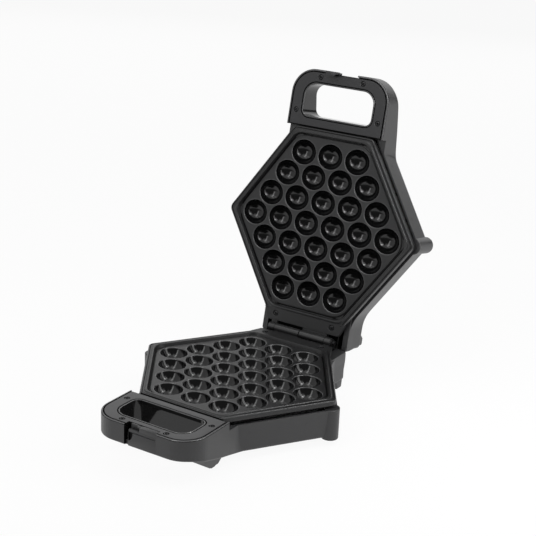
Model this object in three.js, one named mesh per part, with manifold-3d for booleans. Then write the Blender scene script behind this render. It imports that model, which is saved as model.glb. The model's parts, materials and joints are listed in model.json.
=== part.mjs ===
// Bubble waffle maker, standing open with its lid leaned back on its stops.
// Two cast plates hold thirty round cells each. Each plate sits in a moulded shell whose wall
// runs on into a D-shaped handle, and the two plates share one hinge at the back.
// Each half is drawn in its own frame: the flat land between the cells is at z = 0, the
// cells open upwards, the handle points to -y and the hinge is at +y. The lid is such a
// half turned over. All sizes are in millimetres.
import * as THREE from 'three';
import { mergeVertices } from 'three/addons/utils/BufferGeometryUtils.js';
import Module from 'manifold-3d';

const wasm = await Module();
wasm.setup();

// Gaps shared by all pieces
const overrun = 5;
const restGap = 0.3;
const seamGap = 0.5;
const runGap = 0.3;

// Cells: seven rows between the handle and the hinge
const rowCounts = [3, 4, 5, 6, 5, 4, 3];
const cell = {
  pitch: 32, rowPitch: 24.4, rimRadius: 13.6, depth: 12, wall: 3,
  sides: 12, bands: 2, backSides: 8, backRadius: 14.5, backFootShare: 0.5,
};

// Plate casting: its steps, from the outermost cell centres outwards
const plate = {
  grooveInset: 17.4, grooveWidth: 2, grooveDepth: 1.2, grooveSlope: 0.4, bandRise: 2.6,
  bandSlope: 1, bandWidth: 1.8, stepDrop: 0.7, edgeReach: 26.7, edgeRound: 1.3,
  thickness: 4.5, cornerRadius: 11, outerCornerRadius: 7, cornerSteps: 3,
  flangeTop: 1.3, flangeInset: 3.5, flangeEndInset: 8.5, flangeRoot: 12,
};

// Hinge: one tube through a barrel and a lug on each casting
const hinge = {
  standOff: 16.6, z: 3.6, knuckleRadius: 4.5, tubeRadius: 2.5, tubeBore: 1.6, barrelLength: 30.6,
  lugLength: 7.6, slotGap: 2.4, sides: 16, tubeOverhang: 4.4, ringRadius: 3.9, ringWidth: 1.4,
  ringOpenShare: 0.16, openAngle: 102, backGap: 0.7,
};

// Moulded shell: a six-sided tub
const shell = {
  rimDrop: 7, depth: 36.8, wall: 2.5, rimOver: 1.7, floorUnder: 0.1, edgeRound: 3,
  backHalfWidth: 52.5, backFillet: 38, backCorner: 4, troughShare: 0.168,
  tabWidth: 3.4, tabDepth: 6, tabCount: 3, bossRadius: 4.2, pilotRadius: 1.8,
  columnRadius: 8.5, columnOut: 1.14, columnOver: 2.2,
  ventWidth: 3, ventLength: 34, ventPitch: 9, ventCount: 6, ventShift: 22,
};

// Back legs: they flank the hinge, end in the facets that stop the lid and reach the table
const leg = {
  topClear: 0.9, reach: 8.6, width: 12, length: 35.1, footWidth: 8.5, footLength: 10,
  footOver: 8.2, footInset: 3, edgeRound: 2.5, roundSteps: 2,
};

// Front feet of the base, under the roots of the handle
const frontFoot = {
  inset: 12.1, setBack: 7.1, width: 8.5, length: 10, frontSlope: 34, backSlope: 6, sink: 1,
};
const footPad = { thickness: 2, socketDepth: 1, inset: 1.6 };

// Handle: a D-shaped loop with a cover panel let into its top
const handle = {
  halfWidth: 57.3, length: 60.7, rootOverlap: 21.9, tipRadius: 26, tipSteps: 6, rootFillet: 26,
  wall: 2.2, topRise: 1.5, tipDrop: 17.3, slopeSetback: 12.6, slopeOverlap: 1.9, slopeEndRise: 3.2,
  slopeRun: 12, sideGrip: 16.8, frontGrip: 15.1, backGrip: 11.6, openingFrontRadius: 13,
  openingBackRadius: 6, openingSteps: 4, openingWall: 1.8, bottomRound: 2,
};
const cover = {
  thickness: 2.5, recessRadius: 3.7, recessDepth: 1.5, bossGap: 0.3,
  frontScrewX: 25, frontScrewInset: 7.6, backScrewInset: 8.7, backScrewSetback: 16.1,
};
const screw = { headRadius: 3.3, headHeight: 1.3, domeHeight: 0.5, shankRadius: 1.5, length: 9, sides: 8 };
const plateScrew = { x: 34.5, out: 2.1, recessRadius: 4, recessDepth: 1.4 };

// Latch: a slider in the base handle and a hooked catch in the lid handle
const latch = {
  left: -16.8, right: 18.8, sliderLeft: -12.6, travel: 4, recessDepth: 3, frontPlate: 2.4,
  faceTop: -5.5, backDepth: 7.2, upperTop: 1.3, noseLeft: -4.4, noseRight: 1.6, noseReach: 2,
  noseHeight: 1.5, railReach: 3.2, railHeight: 3, notchLeft: -11, notchRight: -7.4,
  notchFloor: 1.6, notchDepth: 1.6, keeperThickness: 1.5,
};
const claw = {
  left: -15.8, right: -5.2, blockLeft: -19.6, blockRight: -4.6, blockLength: 8,
  stem: 2.4, hookReach: 1.9, hookHeight: 1.6, dip: 3.6,
  recessLeft: -20, recessRight: 18, recessDepth: 8,
};

// Parts inside the housing
const heater = {
  radius: 3.2, sides: 6, loopInset: 19, cornerRadius: 24, tailX: 9, tailInset: 2.9, tailRadius: 10,
  steps: 42,
};
const pan = {
  reach: 18.6, wall: 0.8, floorGap: 0.3, cornerRadius: 9, tailSlot: 8.6, bossRadius: 4.5,
  screwBore: 2.1, screwRadius: 1.8, screwHeadRadius: 4, screwHeadHeight: 2, screwLength: 12,
};
const thermostat = {
  radius: 8.5, heightShare: 0.565, capRadius: 6, capShare: 0.13, x: 26, y: 24, sides: 16,
};
const fuse = { radius: 2, length: 22, x: -26, y: 24, saddle: 0.4, sides: 10 };
const terminal = {
  width: 26, length: 10, heightShare: 0.78, out: 1.2, holeRadius: 1.7, holePitch: 8, holes: 3,
  holeSides: 8,
};
const gland = {
  x: 20, dropShare: 0.55, radius: 7, neckRadius: 5.6, bore: 3.6, flange: 2.2, neck: 6, sides: 16,
};
const lamp = { x: 9, y: -62, radius: 3.6, rise: 1.4, flangeRadius: 4.8, depthShare: 0.52, sides: 14 };

// Derived sizes
const outerRows = (rowCounts.length - 1) / 2;
const cornerX = (Math.max(...rowCounts) - 1) / 2 * cell.pitch;
const sideX = (rowCounts[0] - 1) / 2 * cell.pitch;
const sideY = outerRows * cell.rowPitch;
const cupRadius = (cell.rimRadius ** 2 + cell.depth ** 2) / (2 * cell.depth);
const cupCentre = cupRadius - cell.depth;
const domeBottom = -cell.depth - cell.wall;
const plateBack = sideY + plate.edgeReach;
const plateFront = -plateBack;
const hingeY = plateBack + hinge.standOff;
const flangeEdge = hingeY - hinge.knuckleRadius - hinge.slotGap;
const backReach = hingeY + hinge.knuckleRadius + hinge.backGap + shell.wall;
const floorZ = -shell.depth;
const rimZ = -shell.rimDrop;
const troughZ = rimZ + (floorZ - rimZ) * shell.troughShare;
const rimReach = plate.edgeReach + shell.rimOver;
const floorReach = plate.edgeReach - shell.floorUnder;
const vertexAngle = Math.atan2(cornerX - sideX, sideY);
const columnCentre = cornerX + rimReach / Math.cos(vertexAngle) + shell.columnOut
  - shell.columnRadius;
const panFloorTop = domeBottom - restGap - 2 * heater.radius - restGap;
const panUnder = panFloorTop - pan.wall;
const panSpace = panUnder - floorZ - shell.wall;
const legTop = -plate.thickness - leg.topClear;
const legEnd = hingeY + leg.reach;
const footZ = floorZ - leg.footOver;
const tipY = plateFront - handle.length;
const slopeStart = tipY + handle.slopeSetback;
const slopeEnd = plateFront + handle.slopeOverlap;
const slopeFoot = slopeEnd + handle.slopeRun;
const slopeStartZ = -handle.tipDrop - handle.bottomRound / 2;
const slopeEndZ = floorZ + handle.slopeEndRise;
const openingHalfWidth = handle.halfWidth - handle.sideGrip;
const openingFront = tipY + handle.frontGrip;
const openingBack = plateFront - handle.backGrip;
const coverTop = handle.topRise;
const coverBottom = handle.topRise - cover.thickness;
const coverInset = handle.wall + seamGap;
const frontFootX = handle.halfWidth - frontFoot.inset;
const frontFootY = plateFront - frontFoot.setBack;
const plateScrewY = plateBack + plateScrew.out;
const glandZ = rimZ + (floorZ - rimZ) * gland.dropShare;
const terminalY = sideY + pan.reach + terminal.out + terminal.length / 2;

// Materials
function finish(color, roughness, metalness) {
  return new THREE.MeshStandardMaterial({ color, roughness, metalness });
}
const shellPlastic = () => finish(0x3b3b3d, 0.42, 0.0);
const coverPlastic = () => finish(0x3e3e41, 0.38, 0.0);
const coating = () => finish(0x2b2b2c, 0.34, 0.1);
const steel = () => finish(0x6a6a6c, 0.35, 1.0);
const darkSteel = () => finish(0x2c2c2e, 0.4, 0.9);
const panMetal = () => finish(0xb4b6b8, 0.4, 1.0);
const rubber = () => finish(0x1c1c1c, 0.85, 0.0);
const ceramic = () => finish(0xd9d4c8, 0.7, 0.0);

// Solids: a closed geometry becomes a solid that can be joined and cut, and comes back
function solid(geometry) {
  const bare = geometry.index ? geometry.toNonIndexed() : geometry.clone();
  bare.deleteAttribute('normal');
  bare.deleteAttribute('uv');
  const merged = mergeVertices(bare, 1e-4);
  return new wasm.Manifold(new wasm.Mesh({
    numProp: 3,
    vertProperties: new Float32Array(merged.attributes.position.array),
    triVerts: new Uint32Array(merged.index.array),
  }));
}

function geometryOf(body) {
  const mesh = body.getMesh();
  const geometry = new THREE.BufferGeometry();
  geometry.setAttribute('position', new THREE.BufferAttribute(mesh.vertProperties, 3));
  geometry.setIndex(new THREE.BufferAttribute(mesh.triVerts, 1));
  const flat = geometry.toNonIndexed();
  flat.computeVertexNormals();
  return flat;
}

function joined(bodies) {
  return bodies.reduce((whole, body) => whole.add(body));
}

function without(body, cutters) {
  return cutters.reduce((rest, cutter) => rest.subtract(cutter), body);
}

// Outlines are lists of Vector2, walked anticlockwise
function offsetCorners(corners, reach) {
  return corners.map((corner, index) => {
    const before = corners[(index + corners.length - 1) % corners.length];
    const after = corners[(index + 1) % corners.length];
    const inward = corner.clone().sub(before).normalize();
    const outward = after.clone().sub(corner).normalize();
    const normal = new THREE.Vector2(inward.y + outward.y, -inward.x - outward.x).normalize();
    const lean = normal.x * inward.y - normal.y * inward.x;
    return corner.clone().addScaledVector(normal, reach / lean);
  });
}

function roundedCorners(corners, radii, steps) {
  const points = [];
  corners.forEach((corner, index) => {
    const before = corners[(index + corners.length - 1) % corners.length];
    const after = corners[(index + 1) % corners.length];
    const back = before.clone().sub(corner).normalize();
    const ahead = after.clone().sub(corner).normalize();
    const half = Math.acos(THREE.MathUtils.clamp(back.dot(ahead), -1, 1)) / 2;
    const radius = Array.isArray(radii) ? radii[index] : radii;
    const middle = back.clone().add(ahead).normalize();
    const centre = corner.clone().addScaledVector(middle, radius / Math.sin(half));
    const start = corner.clone().addScaledVector(back, radius / Math.tan(half)).sub(centre);
    const sweep = (Math.PI - 2 * half) * Math.sign(ahead.cross(back));
    for (let step = 0; step <= steps; step += 1) {
      const turned = start.clone().rotateAround(new THREE.Vector2(), sweep * step / steps);
      points.push(turned.add(centre));
    }
  });
  return points;
}

const latticeCorners = [
  new THREE.Vector2(cornerX, 0), new THREE.Vector2(sideX, sideY),
  new THREE.Vector2(-sideX, sideY), new THREE.Vector2(-cornerX, 0),
  new THREE.Vector2(-sideX, -sideY), new THREE.Vector2(sideX, -sideY),
];

function hexOutline(reach, radius = plate.cornerRadius, steps = plate.cornerSteps) {
  return roundedCorners(offsetCorners(latticeCorners, reach), radius, steps);
}

function rectOutline(left, right, front, back) {
  return [
    new THREE.Vector2(left, front), new THREE.Vector2(right, front),
    new THREE.Vector2(right, back), new THREE.Vector2(left, back),
  ];
}

// A loft through level rings of equal point counts, closed by flat ends
function loft(rings) {
  const count = rings[0].outline.length;
  const positions = [];
  const triangles = [];
  rings.forEach(({ outline, z }) => outline.forEach((p) => positions.push(p.x, p.y, z)));
  for (let level = 0; level + 1 < rings.length; level += 1) {
    for (let i = 0; i < count; i += 1) {
      const j = (i + 1) % count;
      const low = level * count;
      const high = low + count;
      triangles.push(low + i, low + j, high + j, low + i, high + j, high + i);
    }
  }
  const last = (rings.length - 1) * count;
  THREE.ShapeUtils.triangulateShape(rings[0].outline, []).forEach(([a, b, c]) => {
    triangles.push(a, c, b);
  });
  THREE.ShapeUtils.triangulateShape(rings[rings.length - 1].outline, []).forEach(([a, b, c]) => {
    triangles.push(last + a, last + b, last + c);
  });
  const geometry = new THREE.BufferGeometry();
  geometry.setAttribute('position', new THREE.Float32BufferAttribute(positions, 3));
  geometry.setIndex(triangles);
  return solid(geometry);
}

function prism(outline, low, high) {
  return loft([{ outline, z: low }, { outline, z: high }]);
}

function block(left, right, front, back, low, high) {
  return prism(rectOutline(left, right, front, back), low, high);
}

// A drum on the z axis, moved to its place
function drum(radius, low, high, sides, x = 0, y = 0) {
  const geometry = new THREE.CylinderGeometry(radius, radius, high - low, sides);
  geometry.rotateX(Math.PI / 2);
  geometry.translate(x, y, (low + high) / 2);
  return solid(geometry);
}

// A drum whose axis runs along x at the hinge line
function axle(radius, left, right) {
  const geometry = new THREE.CylinderGeometry(radius, radius, right - left, hinge.sides);
  geometry.rotateZ(Math.PI / 2);
  geometry.translate((left + right) / 2, hingeY, hinge.z);
  return solid(geometry);
}

// Revolved profile: pairs of radius and height, from axis to axis
function turned(profile, sides) {
  const points = profile.map(([radius, height]) => new THREE.Vector2(radius, height));
  const geometry = new THREE.LatheGeometry(points, sides);
  geometry.rotateX(Math.PI / 2);
  return geometry;
}

// A strip in the y-z plane, carried along x
function carried(points, left, right) {
  const shape = new THREE.Shape(points.map(([y, z]) => new THREE.Vector2(y, z)));
  const geometry = new THREE.ExtrudeGeometry(shape, { depth: right - left, bevelEnabled: false });
  geometry.rotateY(Math.PI / 2);
  geometry.rotateX(Math.PI / 2);
  geometry.translate(left, 0, 0);
  return solid(geometry);
}

function cellCentres() {
  const centres = [];
  rowCounts.forEach((count, row) => {
    for (let i = 0; i < count; i += 1) {
      const x = (i - (count - 1) / 2) * cell.pitch;
      centres.push([x, (row - outerRows) * cell.rowPitch]);
    }
  });
  return centres;
}

// One cell cutter: a round cup that runs on straight above the land
function cupCutter() {
  const profile = [[0, -cell.depth]];
  const rimAngle = Math.asin(cell.rimRadius / cupRadius);
  for (let band = 1; band <= cell.bands; band += 1) {
    const angle = rimAngle * band / cell.bands;
    profile.push([cupRadius * Math.sin(angle), cupCentre - cupRadius * Math.cos(angle)]);
  }
  profile.push([cell.rimRadius, overrun], [0, overrun]);
  return turned(profile, cell.sides);
}

function cupBack() {
  const profile = [
    [0, domeBottom], [cell.backRadius * cell.backFootShare, domeBottom],
    [cell.backRadius, -plate.thickness], [cell.backRadius, -plate.thickness / 2],
    [0, -plate.thickness / 2],
  ];
  return turned(profile, cell.backSides);
}

// Plate casting with its cells, its hinge knuckles and the boss for its pan
function plateBody() {
  const p = plate;
  const outerTop = p.bandRise - p.stepDrop;
  const bandInner = p.grooveInset + p.grooveWidth + p.bandSlope;
  const ring = (reach, z, radius) => ({ outline: hexOutline(reach, radius), z });
  const outer = p.outerCornerRadius;
  const slab = loft([
    ring(p.edgeReach - p.edgeRound, -p.thickness, outer),
    ring(p.edgeReach, p.edgeRound - p.thickness, outer),
    ring(p.edgeReach, outerTop - p.edgeRound, outer),
    ring(p.edgeReach - p.edgeRound, outerTop, outer),
    ring(bandInner + p.bandWidth + p.stepDrop, outerTop),
    ring(bandInner + p.bandWidth, p.bandRise),
    ring(bandInner, p.bandRise),
    ring(p.grooveInset + p.grooveWidth, -p.grooveDepth),
    ring(p.grooveInset + p.grooveSlope, -p.grooveDepth),
    ring(p.grooveInset, 0),
  ]);
  const flangeFront = plateBack - p.flangeRoot;
  const flangeHalf = shell.backHalfWidth - p.flangeInset;
  const flangeEndHalf = shell.backHalfWidth - p.flangeEndInset;
  const flange = prism([
    new THREE.Vector2(-flangeHalf, flangeFront),
    new THREE.Vector2(flangeHalf, flangeFront),
    new THREE.Vector2(flangeEndHalf, flangeEdge),
    new THREE.Vector2(-flangeEndHalf, flangeEdge),
  ], -p.thickness, p.flangeTop);
  const flangeOnly = flange.subtract(prism(
    hexOutline(p.edgeReach - p.edgeRound, outer), -p.thickness - overrun, p.flangeTop + overrun,
  ));
  const centre = runGap / 2 + seamGap / 2;
  const knuckles = [
    [-hinge.barrelLength, -centre],
    [hinge.barrelLength + runGap, hinge.barrelLength + runGap + hinge.lugLength],
  ];
  const bodies = [slab, flangeOnly];
  knuckles.forEach(([left, right]) => {
    bodies.push(axle(hinge.knuckleRadius, left, right));
    bodies.push(block(left, right, flangeEdge - hinge.slotGap, hingeY, -p.thickness, p.flangeTop));
  });
  const back = cupBack();
  const cup = cupCutter();
  const cups = [];
  cellCentres().forEach(([x, y]) => {
    bodies.push(solid(back.clone().translate(x, y, 0)));
    cups.push(solid(cup.clone().translate(x, y, 0)));
  });
  bodies.push(drum(pan.bossRadius, panFloorTop + restGap, -p.thickness / 2, screw.sides));
  const bores = [
    axle(hinge.tubeRadius + runGap, -hinge.barrelLength - overrun,
      hinge.barrelLength + hinge.lugLength + overrun),
    drum(pan.screwBore, panFloorTop - overrun, panFloorTop + pan.screwLength, screw.sides),
  ];
  [-plateScrew.x, plateScrew.x].forEach((x) => {
    bores.push(drum(screw.shankRadius + runGap, -p.thickness - overrun, p.flangeTop + overrun,
      screw.sides, x, plateScrewY));
    bores.push(drum(plateScrew.recessRadius, p.flangeTop - plateScrew.recessDepth,
      p.flangeTop + overrun, cell.sides, x, plateScrewY));
  });
  return without(joined(bodies), [...cups, ...bores]);
}

// Outline of the handle, pulled in by an inset, from its tip back to a root line
function handleOutline(inset, root) {
  const half = handle.halfWidth - inset;
  const front = tipY + inset;
  const radius = handle.tipRadius - inset;
  const [frontLeft, frontRight, backRight, backLeft] = rectOutline(-half, half, front, root);
  const tip = roundedCorners([backLeft, frontLeft, frontRight, backRight],
    [0, radius, radius, 0], handle.tipSteps);
  return tip.slice(handle.tipSteps, -handle.tipSteps);
}

// Outline of the whole handle moulding: its sides run on into the slanted walls of the tub
function loopOutline() {
  const half = handle.halfWidth;
  const wall = offsetCorners(latticeCorners, floorReach - shell.wall / 2);
  const slope = wall[0].clone().sub(wall[5]).normalize();
  const meet = wall[5].clone().addScaledVector(slope, (half - wall[5].x) / slope.x);
  const far = meet.clone().addScaledVector(slope, handle.rootFillet);
  const right = [new THREE.Vector2(half, tipY), meet, far];
  const left = right.map((point) => new THREE.Vector2(-point.x, point.y)).reverse();
  const radii = [0, handle.rootFillet, handle.tipRadius];
  return roundedCorners([...left, ...right], [...radii, ...radii.slice().reverse()],
    handle.tipSteps).filter((point, index, all) => {
    const before = all[(index + all.length - 1) % all.length];
    return point.distanceTo(before) > restGap / 2;
  });
}

function openingOutline(outset) {
  const half = openingHalfWidth + outset;
  const corners = rectOutline(-half, half, openingFront - outset, openingBack + outset);
  const front = handle.openingFrontRadius + outset;
  const back = handle.openingBackRadius + outset;
  return roundedCorners(corners, [front, front, back, back], handle.openingSteps);
}

// Underside of the handle: level at the tip, then sloping down to the floor of the tub
function undersideCutter(lift) {
  const h = handle;
  const low = floorZ - overrun;
  return carried([
    [tipY - overrun, low], [slopeFoot + lift, low], [slopeFoot + lift, floorZ + lift],
    [slopeEnd, lift + slopeEndZ], [slopeStart, lift + slopeStartZ],
    [slopeStart - overrun, lift - h.tipDrop], [tipY - overrun, lift - h.tipDrop],
  ], -h.halfWidth - h.rootFillet, h.halfWidth + h.rootFillet);
}

// The facet where the two halves' legs meet: it lies half-way round the open angle
function stopCutter() {
  const reach = leg.reach + leg.length;
  const geometry = new THREE.BoxGeometry(2 * (shell.backHalfWidth + overrun), 2 * reach, reach);
  geometry.translate(0, 0, reach / 2 - restGap / 2);
  geometry.rotateX(-THREE.MathUtils.degToRad(hinge.openAngle) / 2);
  geometry.translate(0, hingeY, hinge.z);
  const front = block(-shell.backHalfWidth - 2 * overrun, shell.backHalfWidth + 2 * overrun,
    hingeY - 2 * reach, hingeY, hinge.z - 2 * reach, hinge.z + 2 * reach);
  return solid(geometry).subtract(front);
}

function backLeg(side, isBase) {
  const outer = shell.backHalfWidth;
  const inner = outer - leg.width;
  const low = isBase ? footZ : footZ + footPad.thickness;
  const footOuter = outer - leg.footInset / 2;
  const footBack = legEnd - leg.footInset;
  const top = rectOutline(inner, outer, legEnd - leg.length, legEnd);
  const foot = rectOutline(footOuter - leg.footWidth, footOuter,
    footBack - leg.footLength, footBack);
  const radii = leg.edgeRound;
  const rings = [
    { outline: roundedCorners(foot, radii, leg.roundSteps), z: low },
    { outline: roundedCorners(top, radii, leg.roundSteps), z: rimZ - leg.footInset },
    { outline: roundedCorners(top, radii, leg.roundSteps), z: legTop },
  ];
  if (side < 0) {
    rings.forEach((ring) => {
      ring.outline = ring.outline.map((p) => new THREE.Vector2(-p.x, p.y)).reverse();
    });
  }
  return loft(rings).subtract(stopCutter());
}

// Underside of the handle at a place along its slope
function undersideAt(y) {
  return THREE.MathUtils.mapLinear(y, slopeStart, slopeEnd, slopeStartZ, slopeEndZ);
}

function frontFootBody(side) {
  const f = frontFoot;
  const front = frontFootY - f.length / 2;
  const back = frontFootY + f.length / 2;
  const start = Math.max(front - f.frontSlope, slopeStart);
  const end = back + f.backSlope;
  const left = frontFootX * side - f.width / 2;
  return carried([
    [start, undersideAt(start) + f.sink], [start, undersideAt(start)], [front, footZ],
    [back, footZ], [end, undersideAt(end)], [end, undersideAt(end) + f.sink],
  ], left, left + f.width);
}

const footPlaces = [
  [-frontFootX, frontFootY], [frontFootX, frontFootY],
  [leg.footInset / 2 + leg.footWidth / 2 - shell.backHalfWidth,
    legEnd - leg.footInset - leg.footLength / 2],
  [shell.backHalfWidth - leg.footInset / 2 - leg.footWidth / 2,
    legEnd - leg.footInset - leg.footLength / 2],
];

function padOutline([x, y], gap) {
  const halfWidth = leg.footWidth / 2 - footPad.inset + gap;
  const halfLength = leg.footLength / 2 - footPad.inset + gap;
  return rectOutline(x - halfWidth, x + halfWidth, y - halfLength, y + halfLength);
}

// Small ribs on the tub's rim that carry the edge of the plate
function rimTabs() {
  const corners = offsetCorners(latticeCorners, rimReach - shell.tabDepth / 2);
  const tabs = [];
  [[0, 1], [2, 3], [3, 4], [5, 0]].forEach(([from, to]) => {
    const along = corners[to].clone().sub(corners[from]);
    const turn = Math.atan2(along.y, along.x);
    for (let i = 1; i <= shell.tabCount; i += 1) {
      const place = corners[from].clone().addScaledVector(along, i / (shell.tabCount + 1));
      const height = shell.rimDrop - plate.thickness - restGap + shell.wall;
      const geometry = new THREE.BoxGeometry(shell.tabWidth, shell.tabDepth, height);
      geometry.rotateZ(turn);
      geometry.translate(place.x, place.y, -plate.thickness - restGap - height / 2);
      tabs.push(solid(geometry));
    }
  });
  return tabs;
}

const coverScrewPlaces = [
  [-cover.frontScrewX, tipY + cover.frontScrewInset],
  [cover.frontScrewX, tipY + cover.frontScrewInset],
  [cover.backScrewInset - handle.halfWidth, plateFront - cover.backScrewSetback],
  [handle.halfWidth - cover.backScrewInset, plateFront - cover.backScrewSetback],
];

// Outline of the back of the tub: its sides run on into the slanted walls by a wide fillet
function backOutline() {
  const half = shell.backHalfWidth;
  const wall = offsetCorners(latticeCorners, floorReach - shell.wall / 2);
  const slope = wall[0].clone().sub(wall[1]).normalize();
  const meet = wall[1].clone().addScaledVector(slope, (half - wall[1].x) / slope.x);
  const far = meet.clone().addScaledVector(slope, shell.backFillet / 2);
  const right = [far, meet, new THREE.Vector2(half, backReach)];
  const left = right.map((point) => new THREE.Vector2(-point.x, point.y)).reverse();
  const radii = [0, shell.backFillet, shell.backCorner];
  return roundedCorners([...right, ...left], [...radii, ...radii.slice().reverse()],
    handle.tipSteps).filter((point, index, all) => {
    const before = all[(index + all.length - 1) % all.length];
    return point.distanceTo(before) > restGap / 2;
  });
}

// Shell: tub, handle, back legs and side columns in one moulding
function shellBody(isBase) {
  const s = shell;
  const h = handle;
  const radius = plate.cornerRadius + rimReach - plate.edgeReach;
  const ring = (reach, z) => ({ outline: hexOutline(reach, radius), z });
  const tub = loft([
    ring(floorReach - s.edgeRound, floorZ),
    ring(floorReach - s.edgeRound / 4, floorZ + s.edgeRound / 3),
    ring(floorReach, floorZ + s.edgeRound),
    ring(rimReach, rimZ),
  ]);
  const back = prism(backOutline(), floorZ, rimZ);
  const loop = prism(loopOutline(), floorZ, h.topRise)
    .subtract(block(-h.halfWidth - h.rootFillet, h.halfWidth + h.rootFillet,
      -sideY - plate.edgeReach - seamGap / 2, sideY, rimZ, h.topRise + overrun))
    .subtract(undersideCutter(0));
  const outside = [tub, back, loop];
  [-1, 1].forEach((side) => {
    outside.push(backLeg(side, isBase));
    outside.push(drum(s.columnRadius, floorZ - s.columnOver, rimZ, cell.sides,
      side * columnCentre, 0));
    if (isBase) outside.push(frontFootBody(side));
  });
  const tubHollow = loft([
    ring(floorReach - s.wall, floorZ + s.wall),
    ring(rimReach - s.wall, rimZ + overrun),
  ]);
  const backHollow = block(s.wall - s.backHalfWidth, s.backHalfWidth - s.wall, sideY,
    flangeEdge - s.wall, floorZ + s.wall, rimZ + overrun);
  const between = s.backHalfWidth - leg.width;
  const backRoom = block(-between, between, sideY, backReach - s.wall, floorZ + s.wall,
    troughZ - s.wall);
  const trough = block(-between, between, flangeEdge, backReach - s.wall, troughZ, rimZ + overrun);
  const partition = -sideY - rimReach;
  const loopHollow = prism(handleOutline(h.wall, partition), floorZ + s.wall, h.topRise + overrun)
    .subtract(undersideCutter(h.wall))
    .subtract(prism(openingOutline(h.openingWall), floorZ, h.topRise + overrun));
  const seat = prism(handleOutline(h.wall, plateFront + h.rootOverlap),
    coverBottom - restGap, h.topRise + overrun)
    .subtract(prism(openingOutline(h.openingWall), floorZ, h.topRise + overrun));
  const opening = prism(openingOutline(0), floorZ - overrun, h.topRise + overrun);
  let body = without(joined(outside), [tubHollow, backHollow, backRoom, trough,
    loopHollow, seat, opening]);

  // Bosses and ribs inside
  const inside = rimTabs();
  const bossTop = coverBottom - restGap;
  coverScrewPlaces.forEach(([x, y]) => {
    inside.push(drum(s.bossRadius, floorZ, bossTop, screw.sides, x, y)
      .subtract(undersideCutter(h.wall / 2)));
  });
  [-1, 1].forEach((side) => {
    inside.push(drum(s.bossRadius, floorZ + s.wall / 2, -plate.thickness - restGap,
      screw.sides, side * plateScrew.x, plateScrewY));
  });
  body = joined([body, ...inside]);

  // Pilot holes, latch recess, vents, gland and lamp holes
  const cuts = [];
  const pilotFoot = bossTop - screw.length;
  coverScrewPlaces.forEach(([x, y]) => {
    cuts.push(drum(s.pilotRadius, pilotFoot, coverTop + overrun, screw.sides, x, y));
  });
  [-1, 1].forEach((side) => {
    cuts.push(drum(s.pilotRadius, plate.flangeTop - plateScrew.recessDepth - screw.length
      - restGap, rimZ + overrun, screw.sides, side * plateScrew.x, plateScrewY));
  });
  if (isBase) {
    cuts.push(block(latch.left, latch.right, tipY - overrun, tipY + latch.recessDepth,
      floorZ, h.topRise + overrun));
    footPlaces.forEach((place) => {
      cuts.push(prism(padOutline(place, restGap), footZ - overrun,
        footPad.socketDepth + footZ));
    });
    for (let i = 0; i < s.ventCount; i += 1) {
      const x = (i - (s.ventCount - 1) / 2) * s.ventPitch;
      cuts.push(block(x - s.ventWidth / 2, x + s.ventWidth / 2, -s.ventShift - s.ventLength / 2,
        s.ventLength / 2 - s.ventShift, floorZ - overrun, floorZ + s.wall + overrun));
    }
    const hole = new THREE.CylinderGeometry(gland.neckRadius + restGap,
      gland.neckRadius + restGap, 2 * overrun, gland.sides);
    hole.translate(gland.x, backReach, glandZ);
    cuts.push(solid(hole));
  } else {
    cuts.push(block(-claw.recessRight, -claw.recessLeft, tipY - overrun,
      tipY + latch.recessDepth, h.topRise - claw.recessDepth, h.topRise + overrun));
    [-lamp.x, lamp.x].forEach((x) => {
      cuts.push(drum(lamp.radius + restGap, floorZ - overrun, floorZ + s.wall + overrun,
        lamp.sides, x, lamp.y));
    });
  }
  return without(body, cuts);
}

// Handle cover: the flat D-shaped panel with recessed screw holes
function coverBody(isBase) {
  const back = -sideY - plate.edgeReach - seamGap;
  const panel = prism(handleOutline(coverInset, back), coverBottom, coverTop);
  const cuts = [prism(openingOutline(handle.openingWall + seamGap), coverBottom - overrun,
    coverTop + overrun)];
  coverScrewPlaces.forEach(([x, y]) => {
    cuts.push(drum(screw.shankRadius + runGap, coverBottom - overrun, coverTop + overrun,
      screw.sides, x, y));
    cuts.push(drum(cover.recessRadius, coverTop - cover.recessDepth, coverTop + overrun,
      cell.sides, x, y));
  });
  const edge = tipY + latch.backDepth + runGap;
  const left = isBase ? latch.left : -claw.recessRight;
  const right = isBase ? latch.right : -claw.recessLeft;
  cuts.push(block(left, right, tipY, isBase ? edge : tipY + latch.recessDepth
    + seamGap, coverBottom - overrun, coverTop + overrun));
  let body = without(panel, cuts);
  if (isBase) {
    const railTop = handle.wall - handle.tipDrop + restGap + latch.railHeight;
    const keeper = edge + restGap;
    body = body.add(block(latch.sliderLeft, latch.right - seamGap, keeper,
      keeper + latch.keeperThickness, railTop + restGap, coverBottom + cover.thickness / 2));
  }
  return body;
}

// Latch slider: a front plate to push, an upright behind it with the nose, and a rail
function sliderBody() {
  const front = tipY + seamGap;
  const left = latch.sliderLeft;
  const right = latch.right - seamGap;
  const plateBack = front + latch.frontPlate;
  const low = restGap - handle.tipDrop;
  const floor = handle.wall - handle.tipDrop + restGap;
  const back = tipY + latch.backDepth;
  const upright = tipY + latch.recessDepth + latch.frontPlate;
  const bodies = [
    block(left, right, front, plateBack, low, latch.faceTop),
    block(left, right, plateBack - restGap / 2, back, floor, latch.faceTop),
    block(left, right, upright, back, latch.faceTop - restGap, latch.upperTop),
    block(latch.noseLeft, latch.noseRight, upright - latch.noseReach, back,
      latch.upperTop - latch.noseHeight, latch.upperTop),
    block(left, right, back - restGap, back + latch.railReach, floor, floor + latch.railHeight),
  ];
  const notch = block(latch.notchLeft, latch.notchRight, front - overrun,
    front + latch.notchDepth, low + latch.notchFloor, latch.faceTop - latch.notchFloor);
  return joined(bodies).subtract(notch);
}

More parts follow.
